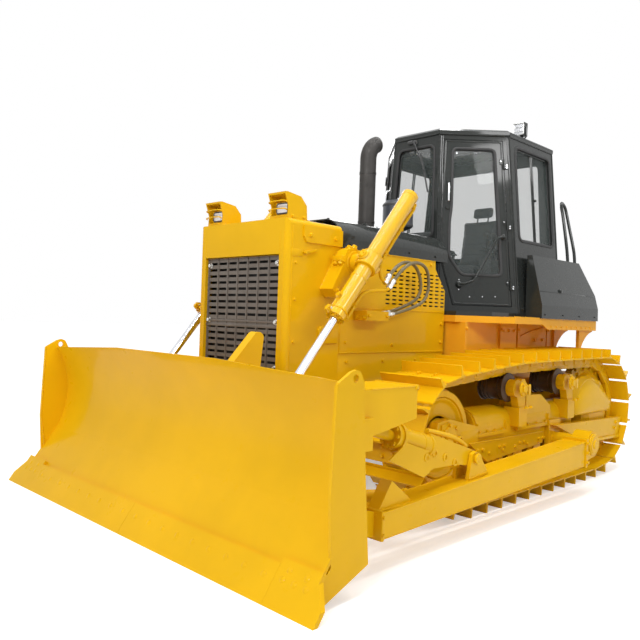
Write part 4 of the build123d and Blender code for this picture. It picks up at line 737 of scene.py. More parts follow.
def blade_details(bm):
    """Beads along the end plates, the beams and the lugs, the lift pins' caps and the lifting ears."""
    end = span("moldboard")[1].x
    front, rear = BLADE_TOP_Y, BLADE_TOP_Y + 186
    weld(bm, (end - 17, front + 2, 1030), (end - 17, front - 18, 520))
    weld(bm, (end - 17, front - 18, 520), (end - 17, front + 20, 230))
    for z in (700, 860):
        weld(bm, (620, BEAM_BACK + 1, z), (1260, BEAM_BACK + 1, z), 4)
    for x in (-41, 41, -63, 63):
        weld(bm, (LIFT_X + x, BEAM_BACK - 62, 424), (LIFT_X + x, BEAM_BACK + 2, 652), 4)
    twins(bm, LIFT_EYE, 76, [(0, 44), (8, 44), (12, 38), (12, 16), (18, 12), (18, 0)])
    for way in (X, -X):
        bolt(bm, LIFT_EYE + way * 83 + Y * 30, way, 14, False)
    for x in (1268, 1552):
        weld(bm, (x, BEAM_BACK + 4, 999), (x, TIP_Y + 870, 999), 4)
    box(bm, (1262, TIP_Y + 858, 980), (1558, TIP_Y + 884, 1006), 4)
    y, z = TIP_Y + 332, 1062.0
    ear = [(front, 1020), (rear, 1020), (rear, 1042), (y + 34, 1094), (y, 1104), (y - 34, 1094),
           (front, 1042)]
    holed_plate(bm, ear, (y, z), 20.2, end - 17, 18)


def brace_spot(share, lift=0.0, x=ARM_MID):
    """A place on the tilt cylinder's axis, or lifted off it; the brace of the other side is at -x."""
    foot, head = Vector((x, *BRACE_FOOT)), Vector((x, *BRACE_HEAD))
    run = head - foot
    return foot + run * share + Vector((0, -run.z, run.y)).normalized() * lift


BRACE_AXIS = (brace_spot(1) - brace_spot(0)).normalized()


def tilt_cylinder_details(bm):
    """Gland bolts, rings of the barrel, the strap under the yoke, ports and their pipe."""
    ring_bolts(bm, brace_spot(0.69) - BRACE_AXIS, BRACE_AXIS, 58, 8, 20)
    for share, radius in ((0.39, 68), (0.45, 66), (0.62, 66)):
        lathe(bm, brace_spot(share), BRACE_AXIS, band(radius, 22, (4, 4)), 48)
    lathe(bm, brace_spot(0.955), BRACE_AXIS, [(0, 36), (10, 44), (44, 44), (54, 38)], 40)
    for share, lift in ((0.154, 54), (0.249, 40), (0.346, 33)):
        twins(bm, brace_spot(share, lift), 31, [(0, 25), (5, 25), (7, 22), (7, 13.2), (1, 13.2)])
    port = [(0, 24), (5, 24), (7, 21), (7, 12), (2, 12), (2, 0)]
    lathe(bm, brace_spot(0.457, 72) + X * 73, X, port, 28)
    strap = [(0.04, -62), (0.14, -88), (0.28, -92), (0.41, -84)]
    bent(bm, [brace_spot(share, lift) for share, lift in strap], 16, 12, 6)
    boss = [(0, 26), (18, 26), (24, 18), (24, 0)]
    lathe(bm, brace_spot(0.10, 46), brace_spot(0.1, 90) - brace_spot(0.1, 0), boss, 24)
    pipe = [(0.62, 60), (0.62, 96), (0.56, 108), (0.44, 104), (0.30, 92), (0.12, 84), (0.0, 66)]
    bent(bm, [brace_spot(share, lift) - X * 22 for share, lift in pipe], 9, 10, 6)


def pitch_brace_details(bm):
    """Screw collar, lock lever and end rings of the right-hand brace."""
    for share, radius in ((0.255, 58), (0.30, 56), (0.71, 56), (0.75, 58)):
        lathe(bm, brace_spot(share, 0, -ARM_MID), BRACE_AXIS, band(radius, 31, (5, 5)), 40)
    for i in range(16):
        lathe(bm, brace_spot(0.80 + i * 0.009, 0, -ARM_MID), BRACE_AXIS, [(0, 34), (3, 37.5), (6, 34)], 36)
    bar(bm, brace_spot(0.5, 50, -ARM_MID), brace_spot(0.5, 96, -ARM_MID), 22, 6, 2)


def diagonal_brace_details(bm):
    """Rings round both ends of the diagonal braces between the push arms and the blade."""
    foot, head = Vector((ARM_X[0], TIP_Y + 1270, 290)), Vector((620, BEAM_BACK - 60, 270))
    for share in (0.06, 0.94):
        at = foot.lerp(head, share) - (head - foot).normalized() * 12
        lathe(bm, at, head - foot, band(47, 29, (5, 5)), 36)


# ================================ lift cylinders and hoses ================================

TRUNNION = Vector((LIFT_X, -1173.0, 1727.0))
LIFT_AXIS = (LIFT_EYE - TRUNNION).normalized()
LIFT_LENGTH = (LIFT_EYE - TRUNNION).length
LIFT_OUT = Vector((0, LIFT_AXIS.z, -LIFT_AXIS.y))
GLAND_HOSE = [(720, -930, 1588), (720, -780, 1768), (640, -394, 1780), (600, -314, 1545), (588, -470, 1440),
              (584, -820, 1374)]
CAP_HOSE = [(720, -977, 1623), (720, -859, 1765), (602, -484, 1778), (564, -349, 1577), (550, -478, 1462),
            (540, -820, 1382)]
BARREL_R = 57.0
GLAND_R = 66.0
YOKE_R = 76.0
ROD_BORE_R = 29.5
# distances down the cylinder from its trunnion: its closed end and its gland's face
BARREL_ENDS = (-676.0, 490.0)
# (down the cylinder, out from its axis) of the oil pipes, from port to fitting
CAP_PIPE = [(-642, -70), (-642, -92), (-610, -92), (-420, -86), (-180, -86), (-70, -92), (-10, -160),
            (-25, -205), (-45, -217)]
GLAND_PIPE = [(432, -70), (432, -94), (400, -94), (290, -88), (180, -96), (80, -190), (10, -262),
              (-20, -272), (-48, -276)]


def lift_spot(s, out=0.0):
    """A place s down the cylinder from its trunnion and out towards the front and top."""
    return TRUNNION + LIFT_AXIS * s + LIFT_OUT * out


def barrel(side, sign):
    """The tube with its closed end and gland, the yoke round it and its shaft, and the lug plate."""
    bm = bmesh.new()
    length = BARREL_ENDS[1] - BARREL_ENDS[0]
    yoke = -BARREL_ENDS[0] - 54
    closed_end = [(0, 0), (0, 52), (3, 58), (6, BARREL_R + 3), (34, BARREL_R + 3), (38, BARREL_R)]
    yoke_ring = [(0, BARREL_R), (1, YOKE_R - 3), (4, YOKE_R), (104, YOKE_R), (107, YOKE_R - 3),
                 (108, BARREL_R)]
    gland = [(-42, BARREL_R), (-38, GLAND_R), (-2, GLAND_R), (0, GLAND_R - 2), (0, ROD_BORE_R),
             (-40, ROD_BORE_R)]
    outline = closed_end + [(yoke + s, r) for s, r in yoke_ring] + [(length + s, r) for s, r in gland]
    lathe(bm, lift_spot(BARREL_ENDS[0]), LIFT_AXIS, outline, 64)
    for way in (-1, 1):
        bar(bm, lift_spot(0, way * (BARREL_R + 2)), lift_spot(0, way * (YOKE_R + 10)), 42, 40, 4)
    y, z = TRUNNION.yz
    bar(bm, (606, y, z), (LIFT_X - BARREL_R + 1, y, z), 68, 48, 4)
    bar(bm, (518, y, z), (620, y, z), 37, 40)
    lug = [(335, 46), (340, 84), (372, 84), (385, 66), (440, 66), (465, 102), (505, 102), (512, 74),
           (480, 46)]
    prism(bm, lug, TRUNNION + X * 9, LIFT_AXIS, LIFT_OUT, 18, 2)
    flip(bm, sign)
    body = "lift_barrel_" + side
    piece("lift_barrel_tube_" + side, bm, body, "yellow_paint", replaces=(body,), material="gloss_yellow")


def pipes(side, sign):
    """Oil pipes close along the barrel, from its two ports to the fittings where the hoses start."""
    bm = bmesh.new()
    for route in (CAP_PIPE, GLAND_PIPE):
        hose(bm, [lift_spot(s, out) for s, out in route], 13)
    flip(bm, sign)
    piece("oil_pipes_" + side, bm, "lift_barrel_" + side, "yellow_paint", replaces=("lift_pipes_" + side,))


def barrel_details(side, sign):
    """Weld bands, the gland's ring of bolts, port blocks, eyelets, the yoke's cap and the pipe clamps."""
    bm = bmesh.new()
    for s, radius, wide in ((150, 60, 8), (-54, 78, 6), (54, 78, 6), (432, 62, 10)):
        lathe(bm, lift_spot(s - wide), LIFT_AXIS, band(radius, 2 * wide, (3, 4)), 56)
    ring_bolts(bm, lift_spot(BARREL_ENDS[1] - 2), LIFT_AXIS, 51, 8, 15)
    wiper_ring = [(0, 40), (10, 40), (14, 37), (14, ROD_BORE_R), (6, ROD_BORE_R)]
    lathe(bm, lift_spot(BARREL_ENDS[1] - 2), LIFT_AXIS, wiper_ring, 44)
    for s, out in ((358, 71), (488, 88)):
        twins(bm, lift_spot(s, out), 9, [(0, 15), (4, 15), (6, 13), (6, 8), (1, 8), (1, 0)], 24)
    for s in (CAP_PIPE[0][0], GLAND_PIPE[0][0]):
        bar(bm, lift_spot(s, -BARREL_R), lift_spot(s, -82), 27, 6, 3)
        for x in (-24, 24):
            bolt(bm, lift_spot(s, -60) + X * x, -LIFT_OUT, 13, False)
    bar(bm, lift_spot(0, YOKE_R + 6), lift_spot(0, YOKE_R + 20), 33, 32, 4)
    ring_bolts(bm, lift_spot(0, YOKE_R + 18), LIFT_OUT, 22, 4, 12)
    for s in (-420, -180, 310):
        bar(bm, lift_spot(s, -BARREL_R), lift_spot(s, -100), 17, 4, 3)
        bolt(bm, lift_spot(s, -99), -LIFT_OUT, 14)
    flip(bm, sign)
    piece("lift_barrel_details_" + side, bm, "lift_barrel_" + side, "yellow_paint")


def barrel_fittings(side, sign):
    """Zinc fittings: hose ferrules at the pipe ends, gland nipple."""
    bm = bmesh.new()
    ferrule = [(0, 17), (4, 19), (12, 19), (14, 17), (18, 19), (26, 19), (28, 17), (32, 18.5), (52, 18.5),
               (56, 14)]
    for route in (GLAND_HOSE, CAP_HOSE):
        start = Vector(route[0])
        way = (Vector(route[1]) - start).normalized()
        lathe(bm, start - way * 34, way, [(0, 20), (2, 22), (26, 22), (28, 20)], 6)
        lathe(bm, start - way * 6, way, ferrule, 20)
    lathe(bm, lift_spot(468, 62), LIFT_OUT, [(0, 13), (14, 13), (16, 9), (24, 9), (24, 0)], 12)
    flip(bm, sign)
    piece("lift_fittings_" + side, bm, "lift_barrel_" + side, "chrome_rod", material="zinc")


def hose(bm, route, radius=12.5):
    """A hose along a smooth line through its route's corners."""
    curve = bpy.data.curves.new("route", "CURVE")
    curve.dimensions = "3D"
    spline = curve.splines.new("NURBS")
    spline.points.add(len(route) - 1)
    for point, at in zip(spline.points, route):
        point.co = (*at, 1)
    spline.order_u = 3
    spline.use_endpoint_u = True
    spline.resolution_u = 16
    holder = link("route", curve)
    points = [vert.co.copy() for vert in baked(holder).vertices]
    bpy.data.objects.remove(holder)
    tube(bm, points, radius, 14)


def hoses(side, sign):
    bm = bmesh.new()
    hose(bm, GLAND_HOSE)
    hose(bm, CAP_HOSE)
    flip(bm, sign)
    obj = piece("hose_pair_" + side, bm, None, "hose_rubber", replaces=("lift_hoses_" + side,))
    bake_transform(obj)


def hose_ends(side, sign):
    """Ferrules and nuts where the hoses meet the manifold."""
    bm = bmesh.new()
    ferrule = [(0, 16), (3, 18), (10, 18), (12, 16), (16, 18), (24, 18), (28, 17), (54, 17), (60, 13)]
    for route in (GLAND_HOSE, CAP_HOSE):
        end = Vector(route[-1])
        way = (Vector(route[-2]) - end).normalized()
        at = end - way * ((end.y + 800) / way.y)
        lathe(bm, at, way, [(0, 21), (2, 23), (22, 23), (24, 21)], 6)
        lathe(bm, at + way * 22, way, ferrule, 20)
    flip(bm, sign)
    piece("hose_ends_" + side, bm, "machine", "chrome_rod", material="zinc")


def rod_details(side, sign):
    """Weld of the rod's eye, and its bushes."""
    bm = bmesh.new()
    lathe(bm, lift_spot(LIFT_LENGTH - 58), LIFT_AXIS, [(0, 29), (4, 36), (14, 38), (22, 34)], 40)
    twins(bm, LIFT_EYE, 34, [(0, 46), (3, 46), (4, 44), (4, 30), (0.5, 30)], 40)
    flip(bm, sign)
    piece("lift_rod_details_" + side, bm, "lift_rod_" + side, "yellow_paint")


def cylinder_support_details(bm):
    """Bearing cap bolts, the cap's block, fixing bolts, welds and the bearing's collar."""
    y, z = TRUNNION.yz
    for x in (530, 578):
        bolt(bm, (x, y - 116, z + 2), (0, -0.55, -0.83), 34)
        bolt(bm, (x, y + 2, z + 98), (0, 0.5, 0.87), 34)
    box(bm, (507, y - 134, z + 2), (598, y - 87, z + 46), 5)
    bolt_row(bm, (601, y - 170, z - 196), (601, y + 30, z - 122), 3, X, 22)
    weld(bm, (480, y - 216, z - 186), (480, y - 60, z + 80), 6)
    weld(bm, (480, y - 171, z - 240), (480, y + 83, z - 127), 6)
    lathe(bm, (600, y, z), X, [(0, 84), (3, 84), (5.5, 80), (5.5, 40)], 48)


# ================================ engine compartment ================================

GUARD_HALF = 479.0
HOOD_TOP = 2052.0
STACK_AT = (-60.0, -330.0)
CLEANER_AT = (60.0, -60.0)
GRILLE_HALF = 402.7
SLOTS = 7


def guard_details(bm):
    """Cover seam over the top, cover bolts, latches, corner seams and the plates at the guard's foot."""
    lo, hi = span("radiator_guard")
    half, front, top = GUARD_HALF, lo.y, hi.z
    for y in (-1500, -1262):
        bolt(bm, (half + 11, y, 1890), X, 22)
    box(bm, (-half + 30, -1566, top - 1), (half - 30, -1560, top + 1.5), 0.6)
    box(bm, (half - 1, front + 44, 640), (half + 2.5, front + 50, 1940), 1)
    latch = [(-1560, 1776), (-1500, 1790), (-1440, 1800), (-1438, 1786), (-1496, 1772), (-1552, 1764)]
    plate(bm, latch, half - 1, 14, 3)
    bar(bm, (half, -1540, 1772), (half + 22, -1540, 1772), 12, 20, 3)
    box(bm, (half - 1, -1660, 1742), (half + 3, -1560, 1790), 1.2)
    box(bm, (-404, front - 2, 1746), (404, front + 2, 1752), 1)
    for x in (404, 446):
        box(bm, (x - 1, front - 1.8, 640), (x + 2, front + 2, 1900), 0.8)
    for z in (900, 1180, 1460, 1700):
        bolt(bm, (half - 1, front + 78, z), X, 16)
    gusset = [(-1400, 1262), (-1378, 1290), (-1250, 1290), (-1215, 1262), (-1215, 1170), (-1390, 1170)]
    plate(bm, gusset, half - 1, 18, 5)


def grille_bolts(bm):
    front = span("grille")[0].y
    for x in (-370, 370):
        for z in (700, 1000, 1304, 1697):
            bolt(bm, (x, front + 1, z), -Y, 24)


def grille_ribs(bm):
    """Folded columns between the slots, and the cross band."""
    front = span("grille")[0].y
    edge = GRILLE_HALF - 12
    for i in range(SLOTS + 1):
        x = -edge + i * (2 * edge / SLOTS)
        box(bm, (x - 6, front - 5, 642), (x + 6, front + 1, 1744), 2)
    for low, high in ((1262, 1284), (1296, 1312)):
        box(bm, (-402, front - 6, low), (402, front + 1, high), 2)


LAMP_X = (265.0, 439.0)
LAMP_Z = 1988.0
LAMP_GLASS = rounded(rectangle(LAMP_X[0] + 34, LAMP_Z + 40, LAMP_X[1] - 34, LAMP_Z + 104), 14)


def headlamp_lenses(bm):
    prism(bm, LAMP_GLASS, (0, span("headlamps")[0].y + 63, 0), X, Z, 10, 4)


def headlamp_frames(bm):
    edging(bm, facing_front(span("headlamps")[0].y + 62), offset(LAMP_GLASS, -8), 14, 12)


def headlamp_guards(bm):
    """Wire bars before the lamp, its bolts and its base plate."""
    front = span("headlamps")[0].y
    x0, x1 = LAMP_X
    mid = (x0 + x1) / 2
    for z in (LAMP_Z + 60, LAMP_Z + 112):
        bent(bm, [(x0 + 4, front + 20, z - 8), (x0 + 10, front + 6, z), (mid, front + 1, z + 3),
                  (x1 - 10, front + 6, z), (x1 - 4, front + 20, z - 8)], 4.5, 8, 5)
    for x in (x0 + 48, mid, x1 - 48):
        bolt(bm, (x, front + 36, LAMP_Z + 13), -Y, 16)
    for y in (front + 70, front + 170):
        bolt(bm, (x1 - 1, y, LAMP_Z + 18), X, 16)
    box(bm, (x0 - 10, front + 30, LAMP_Z - 1), (x1 + 10, front + 220, LAMP_Z + 5), 1.5)


def hood_details(bm):
    """Seams across the hood, its bolts and lifting eyes."""
    for y in (-820.0, -380.0, 60.0):
        box(bm, (-332, y, HOOD_TOP - 1), (332, y + 5, HOOD_TOP + 2), 0.8)
    for y in (-1140, -600, -120):
        for x in (-290, 290):
            bolt(bm, (x, y, HOOD_TOP - 0.5), Z, 18)
    for x in (-180, 180):
        for y in (-620, -160):
            eye = [(-34, -4), (-32, 20), (0, 42), (32, 20), (34, -4)]
            bent(bm, [(x + dx, y, HOOD_TOP + rise) for dx, rise in eye], 7, 8, 5)
    for way in (-X, X):
        for y in (-1100, -760, -420, -80):
            bolt(bm, (way.x * 478, y, 1872), way, 16)


def stack_details(bm):
    """Collar of the exhaust stack, its clamps and its seam."""
    x, y = STACK_AT
    collar = [(0, 96), (8, 96), (12, 90), (12, 74), (60, 72), (64, 70), (64, 67)]
    lathe(bm, (x, y, HOOD_TOP - 1), Z, collar, 48)
    ring_bolts(bm, (x, y, HOOD_TOP + 7), Z, 84, 4, 12)
    for z in (2150.0, 2560.0):
        lathe(bm, (x, y, z), Z, band(71, 18.5, (0.5, 3)), 48)
        bolt(bm, (x + 70, y, z + 9), X, 12)
    weld(bm, (x - 66, y + 22, 2110), (x - 66, y + 22, 2520), 3)


def precleaner_rings(bm):
    """Black rings of the pre-cleaner's bowl and foot, with the vanes under the bowl."""
    x, y = CLEANER_AT
    for z, sides, outline in (
            (-1, 40, [(0, 82), (6, 82), (9, 78), (9, 60)]),
            (92, 64, [(0, 126), (3, 132), (14, 133), (20, 131), (20, 128)]),
            (262, 64, [(0, 130), (2, 133), (16, 133), (22, 128), (24, 120)])):
        lathe(bm, (x, y, HOOD_TOP + z), Z, outline, sides)
    for i in range(24):
        radial = on_circle(Vector(), X, Y, 1, 2 * math.pi * i / 24)
        at = Vector((x, y, HOOD_TOP + 66))
        bar(bm, at + radial * 66, at + radial * 118 + Z * 22, 3.5, 6)


def precleaner_clamp(bm):
    """Bright clamp round the neck, and the wing nut on top."""
    x, y = CLEANER_AT
    lathe(bm, (x, y, HOOD_TOP + 22), Z, band(64, 17, (1, 3)), 48)
    lathe(bm, (x, y, HOOD_TOP + 318), Z, [(0, 20), (6, 20), (10, 10), (22, 10), (24, 0)], 20)
    bolt(bm, (x + 60, y - 20, HOOD_TOP + 30), (0.9, -0.3, 0), 14)


def side_panel_details(bm):
    """Side panel bolts, its seams, manifold bolts, and the plate below that closes the engine bay."""
    face = GUARD_HALF
    box(bm, (face - 10, -1191, 640), (face - 3, 70, 1104), 2)
    box(bm, (face - 6, -1191, 896), (face + 1, 70, 902), 1)
    for y in (-1100, -700, -300, 30):
        bolt(bm, (face - 4, y, 1040), X, 20)
    for y, z in ((-474, 1800), (-140, 1800), (-1120, 1790), (25, 1328), (25, 1180), (-1120, 1180),
                 (-600, 1160)):
        bolt(bm, (face - 1, y, z), X, 22)
    seams = [(68, 1420, 1427, 3, 1.2), (-80, 1829, 1836, 6, 2), (68, 1100, 1110, 6, 2)]
    for rear, low, high, out, bevel in seams:
        box(bm, (face - 1, -1188, low), (face + out, rear, high), bevel)
    for y in (-1180, 60):
        box(bm, (face - 1, y - 4, 1112), (face + 4, y + 4, 1415), 1.2)
    for y in (-1020, -820):
        bolt(bm, (603, y, 1372), X, 20)
    bolt_row(bm, (520, -1039, 1360), (580, -1039, 1360), 2, -Y, 22)


# ================================ fenders, boxes, tank ================================

DECK_Z = 1404.0
SIDE_BOX_X = 968.0
DRAWBAR_PIN_Y = 2480.0


def fender_details(bm):
    """Bolts of the small plate, the skirt and the deck's edge, and the strip along that edge."""
    for y in (1249, 1400):
        bolt(bm, (669, y, 1210), X, 24)
    for y in (700, 790, 880):
        bolt(bm, (667, y, 1290), X, 20)
    for y in (90, 640, 940, 1490):
        for z in (1010, 1300):
            bolt(bm, (675, y + 18, z), X, 20)
    for i in range(9):
        bolt(bm, (949, 1010 + i * 100, 1338), X, 14, False)
    box(bm, (932, 396, 1402), (951, 1936, 1411), 3)


def deck_studs(bm):
    """Raised grip studs on the deck beside the cab."""
    for i in range(5):
        for j in range(9):
            x, y = 838 + i * 24, 420 + j * 40 + (i % 2) * 20
            if x < 640 + (y - 60) * 0.9:
                lathe(bm, (x, y, DECK_Z), Z, [(0, 8), (3, 7), (4, 4), (4.2, 0)], 8)


def side_box_x(z):
    """The side box's outer face at a height: upright below, leaning in above."""
    return SIDE_BOX_X - max(z - 1520, 0) * 106 / 430


def side_box_details(bm):
    """Lid seam, tab and bolts of the side boxes."""
    face = side_box_x(1640)
    for y0, y1 in ((812, 1702), (1712, 1915)):
        box(bm, (face - 4, y0, 1637), (face + 3, y1, 1643), 1)
    face = side_box_x(1650)
    box(bm, (face - 12, 1180, 1640), (face + 14, 1212, 1672), 2)
    bolt_row(bm, (SIDE_BOX_X - 1, 860, 1440), (SIDE_BOX_X - 1, 1860, 1440), 4, X, 12)


def rear_grab_rails(bm):
    """The rail behind the cab, bent over at its top, with its feet."""
    rail = [(780, 1650, 1944), (762, 1652, 2100), (716, 1656, 2380), (690, 1660, 2500), (676, 1690, 2540),
            (672, 1740, 2530), (680, 1776, 2480), (720, 1784, 2300), (770, 1788, 2080), (784, 1790, 1944)]
    bent(bm, rail, 15, 12, 6)
    for y in (1650, 1790):
        lathe(bm, (782, y, 1947), Z, [(0, 30), (8, 30), (10, 26), (10, 16)], 20)


def tank_details(bm):
    """Straps, seams, bolts and the drain plug on the tank's back."""
    y = span("fuel_tank")[1].y
    for x in (-620, 620):
        box(bm, (x - 30, y - 1, 1420), (x + 30, y + 8, 1750), 3)
        bolt_row(bm, (x, y + 7, 1450), (x, y + 7, 1720), 3, Y, 22)
    box(bm, (-760, y - 1, 1600), (760, y + 3, 1606), 1)
    for x in (-330, 330):
        box(bm, (x - 4, y - 1, 1420), (x + 4, y + 4, 1745), 1.5)
    lathe(bm, (0, y, 1470), Y, [(0, 34), (8, 34), (12, 26), (22, 24), (22, 0)], 6)


def filler_cap(bm):
    x, y = 300, span("fuel_tank")[0].y + 190
    lathe(bm, (x, y, 1884), Z, [(0, 60), (4, 62), (26, 62), (32, 56), (34, 40), (34, 0)], 24)
    box(bm, (x - 8, y - 52, 1914), (x + 8, y + 52, 1930), 4)


def rear_case_details(bm):
    """Cover, bolts and welds on the steering case's back."""
    lathe(bm, (0, 1900, 1060), (0, 1, 0.3), [(0, 118), (28, 118), (36, 108), (36, 60), (44, 56), (44, 0)], 48)
    ring_bolts(bm, (0, 1934, 1070), (0, 1, 0.3), 92, 8, 20)
    for x in (-225, 225):
        bolt_row(bm, (x, 1955, 600), (x, 1955, 960), 5, Y, 24)
    for x in (-160, 160):
        bolt_row(bm, (x, 2029, 570), (x, 2029, 820), 3, Y, 34)
    for z in (590, 710):
        weld(bm, (-90, 2031, z), (90, 2031, z), 6)


def drawbar_pin(bm):
    """The pin through the drawbar, its collar and its ring."""
    y = DRAWBAR_PIN_Y
    lathe(bm, (0, y, 470), Z, [(0, 20), (4, 25), (262, 25), (266, 22)], 32)
    lathe(bm, (0, y, 711), Z, [(0, 44), (10, 44), (14, 40), (14, 25)], 32)
    bent(bm, [(0, y + dy, z) for dy, z in ((-20, 734), (-26, 770), (0, 790), (26, 770), (20, 734))], 6, 8, 6)


# ================================ cab ================================

CAB_Z = (1440.0, 2985.0)
CAB_FRONT_HALF = (300.0, 243.0)
CAB_SIDE_X = (806.0, 666.0)
CAB_FRONT_Y = (195.0, 250.0)
CAB_PILLAR_Y = 705.0
CAB_REAR_Y = 1466.0
CAB_SLOPE = (CAB_PILLAR_Y - CAB_FRONT_Y[0]) / (CAB_SIDE_X[0] - CAB_FRONT_HALF[0])
DOOR_POST = 62.0
HINGE_V = (240.0, 760.0, 1290.0)
# the cab's walls by the corner that they start from
DOOR_WALL, LEFT_WALL, REAR_WALL, RIGHT_WALL, FRONT_WALL = 0, 1, 2, 3, 5


def cab_corners(z):
    share = (z - CAB_Z[0]) / (CAB_Z[1] - CAB_Z[0])
    half, side, front = [low + share * (top - low) for low, top in (CAB_FRONT_HALF, CAB_SIDE_X, CAB_FRONT_Y)]
    pillar = front + (side - half) * CAB_SLOPE
    left = [(half, front), (side, pillar), (side, CAB_REAR_Y)]
    return [Vector((x, y, z)) for x, y in left + [(-x, y) for x, y in reversed(left)]]


def wall_axes(i):
    """A cab wall's low corner, its directions along, up and out, and the ends of its far edge."""
    low, top = cab_corners(CAB_Z[0]), cab_corners(CAB_Z[1])
    start, far, far_top = low[i], low[(i + 1) % 6], top[(i + 1) % 6]
    along_it = (far - start).normalized()
    outward = along_it.cross(top[i] - start).normalized()
    return start, along_it, outward.cross(along_it), outward, far, far_top


def wall(i, sign=1):
    """Places on a cab wall: u along it from corner i, v up it, out from its face."""
    start, along_it, upward, outward = wall_axes(i)[:4]

    def spot(u, v, out=0.0):
        p = start + along_it * u + upward * v + outward * out
        return Vector((sign * p.x, p.y, p.z))
    return spot


def outward_of(spot):
    return spot(0, 0, 1) - spot(0, 0, 0)


def pillar_u(v):
    """How far along the door's wall its rear pillar stands at a height."""
    start, along_it, upward, _, far, far_top = wall_axes(DOOR_WALL)
    low_u, top_u = (far - start).dot(along_it), (far_top - start).dot(along_it)
    return low_u + (top_u - low_u) * v / (far_top - start).dot(upward)


def wall_top():
    start, _, upward, _, _, far_top = wall_axes(DOOR_WALL)
    return (far_top - start).dot(upward)


def door_u(v, inset=0.0):
    """Where the door ends on its hinged side at a height, less an inset."""
    return pillar_u(v) - DOOR_POST - inset


DOOR_TOP = wall_top() - 55.0
PANE_TOP = DOOR_TOP - 75.0
DOOR_WINDOW = [(215, 320), (door_u(320, 70), 320), (door_u(PANE_TOP, 70), PANE_TOP), (118, PANE_TOP),
               (118, 900), (104, 780), (104, 480)]
DOOR_EDGE = [(150, 60), (door_u(60), 60), (door_u(DOOR_TOP), DOOR_TOP), (42, DOOR_TOP), (34, 560), (40, 430)]
SIDE_WINDOW = rectangle(70, 640, 701, 1470)
REAR_WINDOW = [(190, 560), (1422, 560), (1362, 1450), (250, 1450)]
FRONT_WINDOW = [(75, 640), (525, 640), (495, 1450), (105, 1450)]


def window_gaskets(bm):
    for i, outline in ((LEFT_WALL, SIDE_WINDOW), (RIGHT_WALL, SIDE_WINDOW), (REAR_WALL, REAR_WINDOW),
                       (FRONT_WALL, FRONT_WINDOW)):
        gasket(bm, wall(i), outline, 62, -26)


def cab_frame_details(bm):
    """Pillar ridges, roof gutter, sill bolts, sliding window frames and the door's weather strip."""
    for low, top in zip(cab_corners(CAB_Z[0] + 4), cab_corners(CAB_Z[1] - 8)):
        bar(bm, low, top, 7, 10)
    for sign in (1, -1):
        spot = wall(DOOR_WALL, sign)
        for u in (14, 30):
            bar(bm, spot(u, 40), spot(u, 1525), 4, 8)
        bar(bm, spot(pillar_u(60) - 20, 60), spot(pillar_u(1520) - 20, 1520), 4, 8)
    spot = wall(FRONT_WALL)
    for u_low, u_top in ((26, 58), (574, 542)):
        bar(bm, spot(u_low, 30), spot(u_top, 1520), 4, 8)
    for a, b in neighbours(cab_corners(CAB_Z[1] - 6)):
        out = (b - a).normalized().cross(Z)
        bar(bm, a + out * 5, b + out * 5, 9, 10)
    for i in (LEFT_WALL, RIGHT_WALL):
        spot = wall(i)
        for u in (372, 398):
            bar(bm, spot(u, 652, -20), spot(u, 1458, -20), 7, 8)
        for v in (655, 1455):
            bar(bm, spot(84, v, -20), spot(688, v, -20), 8, 8)
        bar(bm, spot(404, 1040, -22), spot(404, 1040, 2), 12, 12, 3)
    for i, count, length in ((LEFT_WALL, 5, 760), (RIGHT_WALL, 5, 760), (REAR_WALL, 9, 1610)):
        spot = wall(i)
        bolt_row(bm, spot(60, 40, -1), spot(length - 60, 40, -1), count, outward_of(spot), 20)


def roof_details(bm):
    """Raised middle panel, ribs and the lamps' brackets on the roof."""
    top = span("cab_roof")[1].z
    panel = [(220, 330), (560, 690), (560, 1380), (-560, 1380), (-560, 690), (-220, 330)]
    prism(bm, rounded(panel, 40), (0, 0, top - 2), X, Y, 7, 3)
    for x in (-380, -190, 0, 190, 380):
        box(bm, (x - 16, 720, top + 3), (x + 16, 1330, top + 12), 4)
    bracket = [(-62, 120), (-62, 60), (-56, 26), (0, 16), (56, 26), (62, 60), (62, 120)]
    for x in (560, -560):
        box(bm, (x - 40, 1020, top - 2), (x + 40, 1100, top + 6), 2)
        bent(bm, [(x + dx, 1060, top + rise) for dx, rise in bracket], 6, 8, 4)


WORK_LAMP = (560.0, 1030.0, 3132.0)
LAMP_SIDE, LAMP_RISE = 46, 50
WORK_LAMP_GLASS = rounded(rectangle(WORK_LAMP[0] - LAMP_SIDE, WORK_LAMP[2] - LAMP_RISE,
                                    WORK_LAMP[0] + LAMP_SIDE, WORK_LAMP[2] + LAMP_RISE), 12)


def work_lamp_lenses(bm):
    prism(bm, WORK_LAMP_GLASS, (0, WORK_LAMP[1] + 1, 0), X, Z, 6, 2)


def work_lamp_frames(bm):
    """Frame round the glass, its two guard bars and the cooling fins behind."""
    x, y, z = WORK_LAMP
    edging(bm, facing_front(y), offset(WORK_LAMP_GLASS, -8), 12, 12)
    for dz in (-18, 18):
        bar(bm, (x - 46, y - 7, z + dz), (x + 46, y - 7, z + dz), 2.5, 8)
    for i in range(5):
        box(bm, (x - 48, y + 58, z - 44 + i * 20), (x + 48, y + 64, z - 36 + i * 20), 1.5)


